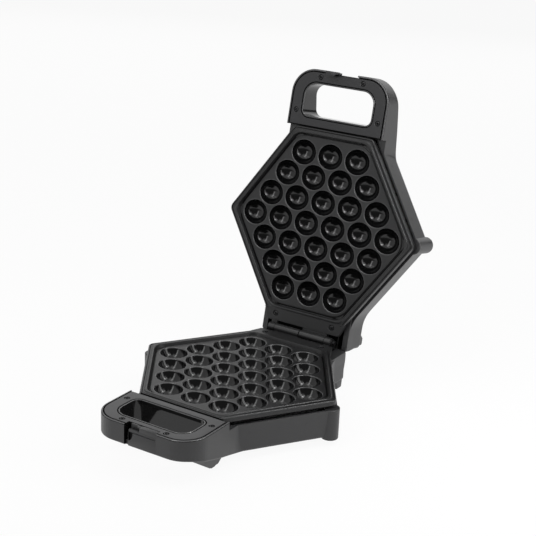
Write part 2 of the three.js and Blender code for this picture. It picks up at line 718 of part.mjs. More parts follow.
// Lid catch: a block in the lid's handle with a hooked claw that dips into the base
function clawBody() {
  const left = -claw.right;
  const right = -claw.left;
  const front = tipY + seamGap;
  const foot = handle.wall - handle.tipDrop + restGap;
  const reach = 2 * (hinge.z - coverTop);
  const tip = coverTop + reach + claw.dip;
  return joined([
    block(left, right, front, front + claw.stem, coverTop - restGap, tip),
    block(-claw.blockRight, -claw.blockLeft, front, front + claw.stem,
      coverTop - claw.recessDepth + restGap, coverTop),
    block(left, right, front, front + claw.stem + claw.hookReach, tip - claw.hookHeight, tip),
    block(left, right, front + claw.stem - restGap, tipY + claw.blockLength,
      coverTop - claw.recessDepth + restGap, coverBottom - restGap),
    block(left, right, tipY + handle.wall + restGap, tipY + claw.blockLength,
      foot, coverBottom - restGap),
  ]);
}

function screwGeometry(length = screw.length) {
  return turned([
    [0, -length], [screw.shankRadius, -length], [screw.shankRadius, 0],
    [screw.headRadius, 0], [screw.headRadius, screw.headHeight - screw.domeHeight],
    [screw.headRadius - screw.domeHeight, screw.headHeight], [0, screw.headHeight],
  ], screw.sides);
}

// Sheathed heating rod: an open loop under the cells with two tails to the back
function heaterGeometry() {
  const z = domeBottom - restGap - heater.radius;
  const corners = offsetCorners(latticeCorners, -heater.loopInset);
  const tailEnd = plateBack - heater.tailInset;
  const points = [new THREE.Vector2(heater.tailX, tailEnd)];
  const yBack = corners[1].y;
  points.push(new THREE.Vector2(heater.tailX, yBack));
  [1, 0, 5, 4, 3, 2].forEach((index) => points.push(corners[index]));
  points.push(new THREE.Vector2(-heater.tailX, yBack));
  points.push(new THREE.Vector2(-heater.tailX, tailEnd));
  const path = new THREE.CurvePath();
  let from = points[0];
  for (let i = 1; i + 1 < points.length; i += 1) {
    const radius = i === 1 || i + 2 === points.length ? heater.tailRadius : heater.cornerRadius;
    const back = points[i - 1].clone().sub(points[i]);
    const ahead = points[i + 1].clone().sub(points[i]);
    const reach = Math.min(radius / 2, back.length() / 2, ahead.length() / 2);
    const start = points[i].clone().addScaledVector(back.normalize(), reach);
    const end = points[i].clone().addScaledVector(ahead.normalize(), reach);
    const at = (p) => new THREE.Vector3(p.x, p.y, z);
    path.add(new THREE.LineCurve3(at(from), at(start)));
    path.add(new THREE.QuadraticBezierCurve3(at(start), at(points[i]), at(end)));
    from = end;
  }
  const last = points[points.length - 1];
  path.add(new THREE.LineCurve3(new THREE.Vector3(from.x, from.y, z),
    new THREE.Vector3(last.x, last.y, z)));
  const section = new THREE.Shape();
  for (let i = 0; i < heater.sides; i += 1) {
    const angle = 2 * Math.PI * i / heater.sides;
    const x = heater.radius * Math.cos(angle);
    const y = heater.radius * Math.sin(angle);
    if (i === 0) section.moveTo(x, y);
    else section.lineTo(x, y);
  }
  return new THREE.ExtrudeGeometry(section, {
    steps: heater.steps, extrudePath: path, bevelEnabled: false,
  });
}

// Reflector pan: a shallow six-sided tray that closes in the heater
function panBody() {
  const top = -plate.thickness - restGap;
  const floor = panFloorTop;
  const outer = hexOutline(pan.reach, pan.cornerRadius);
  const inner = hexOutline(pan.reach - pan.wall, pan.cornerRadius - pan.wall);
  const cuts = [
    prism(inner, floor, top + overrun),
    drum(pan.screwBore, floor - overrun, floor + overrun, screw.sides),
  ];
  [-heater.tailX, heater.tailX].forEach((x) => {
    cuts.push(block(x - pan.tailSlot / 2, x + pan.tailSlot / 2, sideY, sideY + pan.reach + overrun,
      floor + restGap, top + overrun));
  });
  return without(prism(outer, floor - pan.wall, top), cuts);
}

function panScrewGeometry() {
  const seat = panUnder - restGap;
  const length = pan.screwLength - restGap;
  const geometry = turned([
    [0, -pan.screwHeadHeight], [pan.screwHeadRadius, -pan.screwHeadHeight],
    [pan.screwHeadRadius, 0], [pan.screwRadius, 0], [pan.screwRadius, length], [0, length],
  ], screw.sides);
  return geometry.translate(0, 0, seat);
}

function thermostatGeometry() {
  const t = thermostat;
  const top = panUnder - restGap;
  const high = panSpace * t.heightShare;
  const whole = high + panSpace * t.capShare;
  const geometry = turned([
    [0, -whole], [t.capRadius, -whole], [t.capRadius, -high], [t.radius, -high],
    [t.radius, 0], [0, 0],
  ], t.sides);
  return geometry.translate(t.x, t.y, top);
}

function fuseBody() {
  const f = fuse;
  const top = panUnder - restGap;
  const centre = top - f.saddle - f.radius;
  const geometry = new THREE.CylinderGeometry(f.radius, f.radius, f.length, f.sides);
  geometry.translate(f.x, f.y, centre);
  const saddle = block(f.x - f.radius, f.x + f.radius, f.y - f.length / 4, f.y + f.length / 4,
    centre, top);
  return solid(geometry).add(saddle);
}

function terminalBody() {
  const t = terminal;
  const low = floorZ + shell.wall + restGap;
  const high = low + panSpace * t.heightShare;
  const body = block(-t.width / 2, t.width / 2, terminalY - t.length / 2,
    terminalY + t.length / 2, low, high);
  const cuts = [];
  for (let i = 0; i < t.holes; i += 1) {
    const x = (i - (t.holes - 1) / 2) * t.holePitch;
    cuts.push(drum(t.holeRadius, (low + high) / 2, high + overrun, t.holeSides, x, terminalY));
  }
  return without(body, cuts);
}

function glandBody() {
  const g = gland;
  const outer = turned([
    [0, -g.neck], [g.neckRadius, -g.neck], [g.neckRadius, 0], [g.radius, 0],
    [g.radius - g.flange / 4, g.flange], [0, g.flange],
  ], g.sides);
  outer.rotateX(-Math.PI / 2);
  outer.translate(g.x, backReach + restGap, glandZ);
  const bore = new THREE.CylinderGeometry(g.bore, g.bore, 2 * (g.neck + g.flange + overrun),
    g.sides);
  bore.translate(g.x, backReach, glandZ);
  return solid(outer).subtract(solid(bore));
}

function lampGeometry() {
  const l = lamp;
  const depth = panSpace * l.depthShare;
  return turned([
    [0, -l.rise - shell.wall], [l.radius * Math.SQRT1_2, -l.rise * Math.SQRT1_2 - shell.wall],
    [l.radius, -shell.wall], [l.radius, restGap], [l.flangeRadius, restGap],
    [l.flangeRadius, depth], [0, depth],
  ], l.sides);
}

function tubeBody() {
  const right = hinge.barrelLength + runGap + hinge.lugLength;
  const outer = axle(hinge.tubeRadius, -right, right + hinge.tubeOverhang);
  return outer.subtract(axle(hinge.tubeBore, -right - overrun, right + hinge.tubeOverhang + overrun));
}

// Retaining ring: a flat C on the end of the hinge tube
function ringBody() {
  const right = hinge.barrelLength + runGap + hinge.lugLength + restGap;
  const ring = axle(hinge.ringRadius, right, right + hinge.ringWidth)
    .subtract(axle(hinge.tubeRadius + restGap / 2, right - overrun, right + overrun));
  const gap = hinge.ringRadius * Math.PI * hinge.ringOpenShare;
  return ring.subtract(block(right - overrun, right + overrun, hingeY - gap / 2,
    hingeY + gap / 2, hinge.z - hinge.ringRadius - overrun, hinge.z));
}

function padBody(place) {
  return prism(padOutline(place, 0), footZ - footPad.thickness + footPad.socketDepth,
    footPad.socketDepth + footZ - restGap);
}

// Assembly: each half is a group, and the lid's is turned over and swung open
function named(name, geometry, material) {
  const mesh = new THREE.Mesh(geometry, material);
  mesh.name = name;
  return mesh;
}

function halfGroup(prefix, isBase) {
  const group = new THREE.Group();
  group.add(named(`${prefix}_shell`, geometryOf(shellBody(isBase)), shellPlastic()));
  group.add(named(`${prefix}_handle_cover`, geometryOf(coverBody(isBase)), coverPlastic()));
  group.add(named(`${prefix}_plate`, geometryOf(plateBody()), coating()));
  group.add(named(`${prefix}_heater`, heaterGeometry(), steel()));
  group.add(named(`${prefix}_reflector`, geometryOf(panBody()), panMetal()));
  group.add(named(`${prefix}_reflector_screw`, panScrewGeometry(), steel()));
  coverScrewPlaces.forEach(([x, y], index) => {
    const mesh = named(`${prefix}_cover_screw_${index + 1}`, screwGeometry(), darkSteel());
    mesh.position.set(x, y, coverTop - cover.recessDepth + restGap / 2);
    group.add(mesh);
  });
  [-plateScrew.x, plateScrew.x].forEach((x, index) => {
    const mesh = named(`${prefix}_plate_screw_${index + 1}`, screwGeometry(), darkSteel());
    mesh.position.set(x, plateScrewY, plate.flangeTop - plateScrew.recessDepth + restGap / 2);
    group.add(mesh);
  });
  return group;
}

const base = halfGroup('base', true);
base.add(named('thermostat', thermostatGeometry(), steel()));
base.add(named('terminal_block', geometryOf(terminalBody()), ceramic()));
base.add(named('cord_gland', geometryOf(glandBody()), rubber()));
base.add(named('hinge_tube', geometryOf(tubeBody()), darkSteel()));
base.add(named('hinge_ring', geometryOf(ringBody()), darkSteel()));
base.add(named('latch_slider', geometryOf(sliderBody()), shellPlastic()));
footPlaces.forEach((place, index) => {
  base.add(named(`foot_pad_${index + 1}`, geometryOf(padBody(place)), rubber()));
});

const lid = halfGroup('lid', false);
lid.add(named('lid_catch', geometryOf(clawBody()), coverPlastic()));
lid.add(named('thermal_fuse', geometryOf(fuseBody()), ceramic()));
[['power_lamp', -lamp.x, 0xa01810], ['ready_lamp', lamp.x, 0x1c7a2c]].forEach(([name, x, color]) => {
  const mesh = named(name, lampGeometry(), finish(color, 0.15, 0.0));
  mesh.position.set(x, lamp.y, floorZ + shell.wall);
  lid.add(mesh);
});
lid.rotation.y = Math.PI;
lid.position.set(0, -hingeY, hinge.z);
const swing = new THREE.Group();
swing.add(lid);
swing.position.set(0, hingeY, hinge.z);
swing.rotation.x = -THREE.MathUtils.degToRad(hinge.openAngle);

const maker = new THREE.Group();
maker.add(base);
maker.add(swing);

// The origin is at the middle of the whole model's underside
maker.updateMatrixWorld(true);
const bounds = new THREE.Box3().setFromObject(maker, true);
const middle = bounds.getCenter(new THREE.Vector3());
maker.position.set(-middle.x, -middle.y, -bounds.min.z);
maker.updateMatrixWorld(true);

export default maker;
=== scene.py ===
# Bubble waffle maker standing open: dark moulded shells, cast plates with round cells
import json
import math
import bpy
import bmesh
from mathutils import Matrix, Vector

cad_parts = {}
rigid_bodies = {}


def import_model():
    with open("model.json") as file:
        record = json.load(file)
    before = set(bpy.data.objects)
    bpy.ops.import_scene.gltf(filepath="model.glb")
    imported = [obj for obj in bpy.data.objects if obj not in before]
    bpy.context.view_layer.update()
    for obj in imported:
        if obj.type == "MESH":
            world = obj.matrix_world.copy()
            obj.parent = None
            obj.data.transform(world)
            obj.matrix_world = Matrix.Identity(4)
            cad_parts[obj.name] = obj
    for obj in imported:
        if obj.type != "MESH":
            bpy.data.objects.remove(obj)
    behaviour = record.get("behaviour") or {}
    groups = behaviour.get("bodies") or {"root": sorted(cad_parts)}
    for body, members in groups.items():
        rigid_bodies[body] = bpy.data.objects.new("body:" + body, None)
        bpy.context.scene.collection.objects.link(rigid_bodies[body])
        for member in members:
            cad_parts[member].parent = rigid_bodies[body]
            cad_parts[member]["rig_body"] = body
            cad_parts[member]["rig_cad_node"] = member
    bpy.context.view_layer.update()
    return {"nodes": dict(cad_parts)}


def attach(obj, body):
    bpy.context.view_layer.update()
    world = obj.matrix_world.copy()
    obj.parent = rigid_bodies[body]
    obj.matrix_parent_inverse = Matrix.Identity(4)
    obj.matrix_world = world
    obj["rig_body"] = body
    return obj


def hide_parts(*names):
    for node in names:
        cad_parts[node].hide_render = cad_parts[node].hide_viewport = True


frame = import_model()
print("frame loaded")

# Each half is drawn in millimetres in its own frame: land between the cells at z = 0,
# handle towards -y, hinge towards +y. These two matrices put a half in its place.
halfPlace = {"shift": (0.0, -0.019882, 0.046), "hingeY": 116.5, "hingeZ": 3.6, "open": 102.0}
hingePoint = Vector((0, halfPlace["hingeY"], halfPlace["hingeZ"]))
baseMatrix = Matrix.Translation(halfPlace["shift"]) @ Matrix.Scale(0.001, 4)
lidMatrix = (baseMatrix @ Matrix.Translation(hingePoint)
             @ Matrix.Rotation(-math.radians(halfPlace["open"]), 4, "X")
             @ Matrix.Translation((0, -hingePoint.y, hingePoint.z))
             @ Matrix.Rotation(math.pi, 4, "Y"))
halves = {"base": baseMatrix, "lid": lidMatrix}

# Limits for all pieces: millimetres, degrees and shares
limits = {"merge": 0.0005, "thinnest": 0.02, "smoothAngle": 32.0, "parallel": 1e-9, "share": 1e-6}


def pickOnly(*objs):
    bpy.ops.object.select_all(action="DESELECT")
    for obj in objs:
        obj.select_set(True)
    bpy.context.view_layer.objects.active = objs[0]


def applyModifier(obj, kind, **values):
    pickOnly(obj)
    bpy.ops.object.modifier_add(type=kind)
    modifier = obj.modifiers[-1]
    for key, value in values.items():
        setattr(modifier, key, value)
    bpy.ops.object.modifier_apply(modifier=modifier.name)


# Puts the place, turn and scale of pieces into their meshes
def applyPlace(*objs):
    pickOnly(*objs)
    bpy.ops.object.transform_apply(location=True, rotation=True, scale=True)


def joinPieces(name, objs):
    pickOnly(*objs)
    if len(objs) > 1:
        bpy.ops.object.join()
    objs[0].name = name
    return objs[0]


def removePiece(obj):
    pickOnly(obj)
    bpy.ops.object.delete()


# Cuts or joins with another piece, which is used up
def booleanWith(obj, other, how="DIFFERENCE"):
    applyModifier(obj, "BOOLEAN", operation=how, object=other, solver="EXACT")
    removePiece(other)


# Runs a closed row of points through several rings: each ring is extruded from the last
def extrudeThrough(name, rings, closed=False):
    count = len(rings[0])
    bpy.ops.object.select_all(action="DESELECT")
    bpy.ops.mesh.primitive_circle_add(vertices=count, radius=1, fill_type="NOTHING")
    piece = bpy.context.object
    piece.name = name
    bpy.ops.object.mode_set(mode="EDIT")
    bpy.ops.mesh.select_mode(type="VERT")
    bpy.ops.mesh.select_all(action="SELECT")
    places = {}
    for number, ring in enumerate(rings):
        if number:
            bpy.ops.mesh.extrude_region_move()
        mesh = bmesh.from_edit_mesh(piece.data)
        mesh.verts.ensure_lookup_table()
        mesh.verts.index_update()
        fresh = {}
        for vert in mesh.verts:
            if vert.select:
                others = [edge.other_vert(vert) for edge in vert.link_edges]
                old = [other.index for other in others if not other.select]
                fresh[vert.index] = places[old[0]] if number else vert.index
        for index, place in fresh.items():
            mesh.verts[index].co = ring[place]
        places = fresh
        bmesh.update_edit_mesh(piece.data)
    if not closed:
        bpy.ops.mesh.edge_face_add()
        bpy.ops.mesh.select_all(action="DESELECT")
        bpy.ops.mesh.select_non_manifold()
        bpy.ops.mesh.edge_face_add()
    bpy.ops.mesh.select_all(action="SELECT")
    if closed:
        bpy.ops.mesh.remove_doubles(threshold=limits["merge"])
    bpy.ops.mesh.normals_make_consistent(inside=False)
    bpy.ops.object.mode_set(mode="OBJECT")
    return piece


# Rounds the corners of a closed row of corners; a radius may be given for each
def roundedOutline(corners, radii, steps=8):
    points = []
    count = len(corners)
    for index, corner in enumerate(corners):
        here = Vector(corner)
        back = (Vector(corners[index - 1]) - here).normalized()
        ahead = (Vector(corners[(index + 1) % count]) - here).normalized()
        radius = radii[index] if isinstance(radii, (list, tuple)) else radii
        if radius <= 0:
            points.append(here)
            continue
        half = math.acos(max(-1, min(1, back.dot(ahead)))) / 2
        centre = here + (back + ahead).normalized() * (radius / math.sin(half))
        start = here + back * (radius / math.tan(half)) - centre
        turn = 1 if back.x * ahead.y - back.y * ahead.x < 0 else -1
        sweep = turn * (math.pi - 2 * half)
        for step in range(steps + 1):
            angle = sweep * step / steps
            turned = Vector((start.x * math.cos(angle) - start.y * math.sin(angle),
                             start.x * math.sin(angle) + start.y * math.cos(angle)))
            points.append(centre + turned)
    return points


# The six-sided outline of the cell field, moved outwards by a reach
cellField = {"pitch": 32.0, "rowPitch": 24.4, "rows": (3, 4, 5, 6, 5, 4, 3)}
fieldX = (max(cellField["rows"]) - 1) / 2 * cellField["pitch"]
fieldSideX = (cellField["rows"][0] - 1) / 2 * cellField["pitch"]
middleRow = (len(cellField["rows"]) - 1) / 2
fieldY = middleRow * cellField["rowPitch"]
slantLength = math.hypot(fieldX - fieldSideX, fieldY)
slantNormal = (fieldY / slantLength, (fieldX - fieldSideX) / slantLength)


# x of the slanted side at a y, for an outline moved outwards by a reach
def slantX(reach, y):
    along = fieldX * slantNormal[0] + reach
    return (along - slantNormal[1] * abs(y)) / slantNormal[0]


def hexCorners(reach):
    frontX = slantX(reach, fieldY + reach)
    sideX = slantX(reach, 0)
    y = fieldY + reach
    return [(frontX, -y), (sideX, 0), (frontX, y), (-frontX, y), (-sideX, 0), (-frontX, -y)]


def atHeight(outline, z):
    return [Vector((p.x, p.y, z)) for p in outline]


def hexRing(reach, z, radius):
    return atHeight(roundedOutline(hexCorners(reach), radius), z)


# How far a point lies outside the cell field
def reachOf(x, y):
    slanted = (abs(x) - fieldX) * slantNormal[0] + abs(y) * slantNormal[1]
    return max(abs(y) - fieldY, slanted)


# Cosines and sines through a quarter turn
def quarterTurn(steps):
    angles = [math.radians(90) * step / steps for step in range(steps + 1)]
    return [(math.cos(angle), math.sin(angle)) for angle in angles]


def roundRing(x, y, radius, z, sides):
    turn = math.tau / sides
    return [Vector((x + radius * math.cos(i * turn), y + radius * math.sin(i * turn), z))
            for i in range(sides)]


# A turned piece on the z axis from (radius, height) pairs
def turnedPiece(name, profile, x=0.0, y=0.0, sides=32):
    rings = [roundRing(x, y, max(radius, limits["thinnest"]), z, sides) for radius, z in profile]
    return extrudeThrough(name, rings)


def cellCentres():
    for row, count in enumerate(cellField["rows"]):
        for i in range(count):
            yield ((i - (count - 1) / 2) * cellField["pitch"],
                   (row - middleRow) * cellField["rowPitch"])


# Puts a piece drawn in a half's frame in its place, with its place in its mesh
def settle(piece, half, node):
    piece.matrix_world = halves[half] @ piece.matrix_world
    applyPlace(piece)
    bpy.ops.object.shade_smooth_by_angle(angle=math.radians(limits["smoothAngle"]))
    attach(piece, half)
    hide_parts(node)


def copyPiece(piece, name):
    pickOnly(piece)
    bpy.ops.object.duplicate()
    copied = bpy.context.object
    copied.name = name
    return copied


# Cast plate: rings of (reach, height, corner radius) from the underside over the edge,
# the band and the groove to the land
plate = {
    "rings": ((24.6, -4.5, 6), (25.9, -4.35, 6.5), (26.5, -3.9, 7), (26.7, -3.2, 7),
              (26.7, 1.0, 7), (26.55, 1.5, 7), (26.15, 1.83, 7), (25.6, 1.92, 7),
              (25.0, 1.92, 7), (24.85, 1.6, 7), (24.4, 1.6, 7.5), (24.25, 1.92, 7.5),
              (23.1, 1.92, 8), (22.85, 1.98, 8), (22.6, 2.2, 9), (22.35, 2.5, 10),
              (22.0, 2.62, 11), (21.0, 2.62, 13), (20.6, 2.5, 14), (20.3, 2.1, 15),
              (19.7, -0.7, 16), (19.5, -1.1, 17), (19.1, -1.2, 18), (18.1, -1.2, 20),
              (17.8, -1.05, 21), (17.55, -0.4, 21), (17.35, -0.12, 21), (17.0, -0.02, 21),
              (16.6, 0.0, 21)),
    "cellRadius": 13.6, "cellDepth": 12.0, "cellLap": 0.05, "cellSpread": (1.055, 0.965),
    "lipRadius": 0.9, "lipTurn": 84.0, "lipRise": 0.985, "lipLap": 0.04, "cupTop": 4.0,
    "domeRadius": 14.45, "domeDepth": 15.0, "domeLap": 0.1, "domeTop": -3.0, "thickness": 4.5,
    "flangeTop": 1.9, "flangeHalf": 49.0, "flangeEndHalf": 44.0, "flangeFront": 96.5,
    "flangeEnd": 109.6, "flangeEdge": 0.5, "flangeRadius": 3, "screwX": 34.5, "screwY": 102.0,
    "pocketRadius": 3.1, "pocketFloor": 0.3, "pocketFlare": 0.3,
}


def cellProfile():
    rim, depth, lip = plate["cellRadius"], plate["cellDepth"], plate["lipRadius"]
    radius = (rim * rim + depth * depth) / (2 * depth)
    centre = radius - depth
    profile = []
    rimAngle = math.asin((rim - plate["cellLap"]) / radius)
    for step in range(13):
        angle = rimAngle * step / 12
        z = centre - radius * math.cos(angle)
        if z < -lip:
            profile.append((radius * math.sin(angle), z))
    for step in range(6):
        angle = math.radians(plate["lipTurn"]) * step / 5
        profile.append((rim + lip - plate["lipLap"] - lip * math.cos(angle),
                        lip * (math.sin(angle) - plate["lipRise"])))
    profile.append((profile[-1][0] + limits["thinnest"], plate["cupTop"]))
    return profile


# Cuts a screw's pocket: straight from its floor, flared at the top
def cutPocket(piece, x, y, top, settings):
    radius, flare, over = settings["pocketRadius"], settings["pocketFlare"], 0.05
    booleanWith(piece, turnedPiece("pocket", (
        (radius, settings["pocketFloor"]), (radius, top + over - flare),
        (radius + flare, top + over), (radius + flare, top + 4)), x, y))


def makePlate():
    rings = [hexRing(reach, z, radius) for reach, z, radius in plate["rings"]]
    slab = extrudeThrough("plateSlab", rings)
    half, endHalf = plate["flangeHalf"], plate["flangeEndHalf"]
    front, end = plate["flangeFront"], plate["flangeEnd"]
    flangeCorners = [(-half, front), (half, front), (endHalf, end), (-endHalf, end)]
    flange = []
    low, top, edge = -plate["thickness"], plate["flangeTop"], plate["flangeEdge"]
    radii = [0, 0, plate["flangeRadius"], plate["flangeRadius"]]
    for inset, z in ((edge, low), (0, low + edge), (0, top - edge),
                     (edge * 0.3, top - edge * 0.3), (edge, top)):
        corners = [(x - math.copysign(inset, x), y - (inset if y > front else 0))
                   for x, y in flangeCorners]
        flange.append(atHeight(roundedOutline(corners, radii, 6), z))
    booleanWith(slab, extrudeThrough("plateFlange", flange), "UNION")
    dome, cup = [], []
    depth = plate["domeDepth"] + low
    domeProfile = [(plate["domeRadius"] * sine, low + plate["domeLap"] - depth * cosine)
                   for cosine, sine in quarterTurn(7)]
    domeProfile.append((plate["domeRadius"], plate["domeTop"]))
    firstDome = turnedPiece("dome", domeProfile)
    firstCup = turnedPiece("cup", cellProfile(), sides=48)
    for x, y in cellCentres():
        for first, made in ((firstDome, dome), (firstCup, cup)):
            copied = copyPiece(first, first.name + "Copy")
            copied.location, copied.scale = (x, y, 0), (*plate["cellSpread"], 1)
            made.append(copied)
    removePiece(firstDome)
    removePiece(firstCup)
    applyPlace(*dome)
    applyPlace(*cup)
    booleanWith(slab, joinPieces("domes", dome), "UNION")
    booleanWith(slab, joinPieces("cups", cup))
    for side in (-1, 1):
        cutPocket(slab, side * plate["screwX"], plate["screwY"], top, plate)
    return slab


# Hinge knuckles of one casting, with the webs that carry them
knuckles = {"radius": 4.5, "edge": 0.5, "spans": ((-30.6, -0.4), (30.9, 38.5)),
            "webFront": 107.0, "webLow": -4.5, "webTop": 1.3, "webEdge": 0.4, "webInset": 0.2}


def makeBarrel(left, right):
    radius, edge = knuckles["radius"], knuckles["edge"]
    profile = ((radius - edge, left), (radius - edge * 0.3, left + edge * 0.3),
               (radius, left + edge), (radius, right - edge),
               (radius - edge * 0.3, right - edge * 0.3), (radius - edge, right))
    barrel = turnedPiece("knuckle", profile, sides=48)
    barrel.rotation_euler = (0, math.pi / 2, 0)
    barrel.location = hingePoint
    applyPlace(barrel)
    return barrel


def makeBlock(name, low, high, edge=0.0):
    bpy.ops.object.select_all(action="DESELECT")
    bpy.ops.mesh.primitive_cube_add(size=1, location=[(a + b) / 2 for a, b in zip(low, high)])
    block = bpy.context.object
    block.name = name
    block.scale = [b - a for a, b in zip(low, high)]
    applyPlace(block)
    if edge:
        applyModifier(block, "BEVEL", width=edge, segments=2, limit_method="NONE")
    return block


def cutBlock(piece, low, high):
    booleanWith(piece, makeBlock("cutter", low, high))


def addBlock(piece, low, high, edge=0.0):
    booleanWith(piece, makeBlock("addition", low, high, edge), "UNION")


def makeKnuckles():
    made = []
    inset = knuckles["webInset"]
    for left, right in knuckles["spans"]:
        made.append(makeBarrel(left, right))
        made.append(makeBlock("web", (left + inset, knuckles["webFront"], knuckles["webLow"]),
                              (right - inset, hingePoint.y, knuckles["webTop"]),
                              knuckles["webEdge"]))
    return made


# Moulded shell. The rim's edge is given as (inset, drop) pairs
shell = {
    "rim": -7.0, "floor": -36.8, "wall": 2.5, "rimReach": 28.4, "floorReach": 26.6,
    "rimEdge": ((0.4, 0.0), (0.12, 0.12), (0.0, 0.4)), "rimChamfer": 0.3, "floorRound": 3.0,
    "innerRound": 1.5, "backHalf": 52.5, "backY": 124.2, "backRadius": 4.0, "leastRadius": 0.8,
    "sideRadius": 12.6, "blendRadius": 38.0, "frontRadius": 4, "hollowLap": 0.6, "hollowTop": -3.0,
    "troughHalf": 40.5, "troughFront": 109.6, "troughFloor": -12.0, "troughLap": 0.8,
    "troughSink": 0.5, "columnX": 106.6, "columnRadius": 8.5, "columnDrop": -39.0,
    "columnEdge": 1.0, "ventCount": 6, "ventPitch": 9.0, "ventWidth": 3.0, "ventFront": -39.0,
    "ventBack": -5.0,
}
# Handle. Its rims are (inset, drop) pairs: the outer one runs from the panel's seat outwards,
# the opening's from its wall to the seat. The underside is (y, z) pairs
handle = {
    "half": 57.3, "tip": -160.6, "tipRadius": 26.0, "fillet": 26.0, "top": 1.5, "edge": 2.0,
    "outerRim": ((1.8, 2.8), (1.8, 0.2), (1.6, 0.0), (1.0, 0.0), (0.5, 0.13), (0.13, 0.5),
                 (0.0, 1.0)),
    "openRim": ((0.0, 3.6), (0.0, 0.4), (0.1, 0.12), (0.4, 0.0), (1.25, 0.0), (1.45, 0.2),
                (1.45, 2.8)),
    "openHalf": 40.5, "openFront": -145.5, "openBack": -111.5, "openFrontRadius": 13.0,
    "openBackRadius": 7.0, "centre": (0.0, -128.0), "step": -100.15, "sink": 0.6,
    "farOut": 14.0, "angleStep": 3, "angleGap": 0.35,
    "under": ((-161, -19.4), (-150, -20.2), (-138, -23.4), (-124, -27.4), (-111, -30.8),
              (-98, -33.6), (-86, -36.2), (-74, -36.8)),
}


def tubRing(z, reach, inset):
    y = fieldY + reach
    backHalf, backY = shell["backHalf"] - inset, shell["backY"] - inset
    along = fieldX * slantNormal[0] + reach
    turnY = (along - slantNormal[0] * backHalf) / slantNormal[1]
    right = [(slantX(reach, y), -y), (slantX(reach, 0), 0), (backHalf, turnY), (backHalf, backY)]
    corners = right + [(-x, y) for x, y in reversed(right)]
    side = shell["sideRadius"] - inset
    corner = max(shell["backRadius"] - inset, shell["leastRadius"])
    radii = [shell["frontRadius"], side, shell["blendRadius"] + inset, corner]
    return atHeight(roundedOutline(corners, radii + radii[::-1]), z)


def makeTub():
    wall, rim, floor = shell["wall"], shell["rim"], shell["floor"]
    inner, chamfer, bend = shell["innerRound"], shell["rimChamfer"], shell["floorRound"]
    rings = [tubRing(floor + wall, shell["floorReach"] - wall - inner, wall + inner),
             tubRing(floor + wall + inner, shell["floorReach"] - wall, wall),
             tubRing(rim - chamfer, shell["rimReach"] - wall, wall),
             tubRing(rim, shell["rimReach"] - wall + chamfer, wall - chamfer)]
    for inset, drop in shell["rimEdge"]:
        rings.append(tubRing(rim - drop, shell["rimReach"] - inset, inset))
    for cosine, sine in quarterTurn(6):
        inset = bend * (1 - cosine)
        rings.append(tubRing(floor + bend - bend * sine, shell["floorReach"] - inset, inset))
    return extrudeThrough("tub", rings)


def tubHollow():
    wall = shell["wall"] - shell["hollowLap"]
    return extrudeThrough("tubHollow", [
        tubRing(shell["floor"] + wall, shell["floorReach"] - wall, wall),
        tubRing(shell["hollowTop"], shell["rimReach"] - wall, wall)])


# Height of the handle's underside at a y: a smooth run through the table's points
def underZ(y):
    table = handle["under"]
    if y <= table[0][0]:
        return table[0][1]
    if y >= table[-1][0]:
        return table[-1][1]
    at = max(i for i, pair in enumerate(table[:-1]) if pair[0] <= y)
    before, here = table[max(at - 1, 0)], table[at]
    there, after = table[at + 1], table[min(at + 2, len(table) - 1)]
    span = there[0] - here[0]
    t = (y - here[0]) / span
    slopeHere = (there[1] - before[1]) / max(there[0] - before[0], 1) * span
    slopeThere = (after[1] - here[1]) / max(after[0] - here[0], 1) * span
    return ((2 * t**3 - 3 * t**2 + 1) * here[1] + (t**3 - 2 * t**2 + t) * slopeHere
            + (3 * t**2 - 2 * t**3) * there[1] + (t**3 - t**2) * slopeThere)


def handleOutline(inset):
    half, tip = handle["half"] - inset, handle["tip"] + inset
    along = fieldX * slantNormal[0] + shell["floorReach"] - handle["sink"] - inset
    meetY = -(along - slantNormal[0] * half) / slantNormal[1]
    farX = half + handle["farOut"]
    farY = -(along - slantNormal[0] * farX) / slantNormal[1]
    right = [(half, tip), (half, meetY), (farX, farY)]
    corners = [(-x, y) for x, y in reversed(right)] + right
    ends = handle["tipRadius"] - inset
    fillet = handle["fillet"] + inset
    return roundedOutline(corners, [0, fillet, ends, ends, fillet, 0], 12)


def openOutline(outset):
    half = handle["openHalf"] + outset
    front, back = handle["openFront"] - outset, handle["openBack"] + outset
    radii = [handle["openFrontRadius"] + outset] * 2 + [handle["openBackRadius"] + outset] * 2
    corners = [(-half, front), (half, front), (half, back), (-half, back)]
    return roundedOutline(corners, radii, 10)


# The points where rays from the handle's centre leave an outline
def rayPoints(outline, angles):
    centre = Vector(handle["centre"])
    points = []
    for angle in angles:
        ray = Vector((math.cos(angle), math.sin(angle)))
        best = None
        for index, here in enumerate(outline):
            before = outline[index - 1] - centre
            edge = here - outline[index - 1]
            cross = ray.x * edge.y - ray.y * edge.x
            if abs(cross) < limits["parallel"]:
                continue
            far = (before.x * edge.y - before.y * edge.x) / cross
            share = (before.x * ray.y - before.y * ray.x) / cross
            if far > 0 and -limits["share"] <= share <= 1 + limits["share"]:
                best = far if best is None else max(best, far)
        points.append(centre + ray * best)
    return points


def handleAngles(*outlines):
    stepSize, gap = handle["angleStep"], math.radians(handle["angleGap"])
    found = [math.radians(angle) for angle in range(0, 360, stepSize)]
    for outline in outlines:
        for point in outline:
            away = point - Vector(handle["centre"])
            found.append(math.atan2(away.y, away.x) % math.tau)
    kept = []
    for angle in sorted(found):
        if not kept or angle - kept[-1] > gap:
            kept.append(angle)
    if kept[0] + math.tau - kept[-1] < gap:
        kept.pop()
    return kept


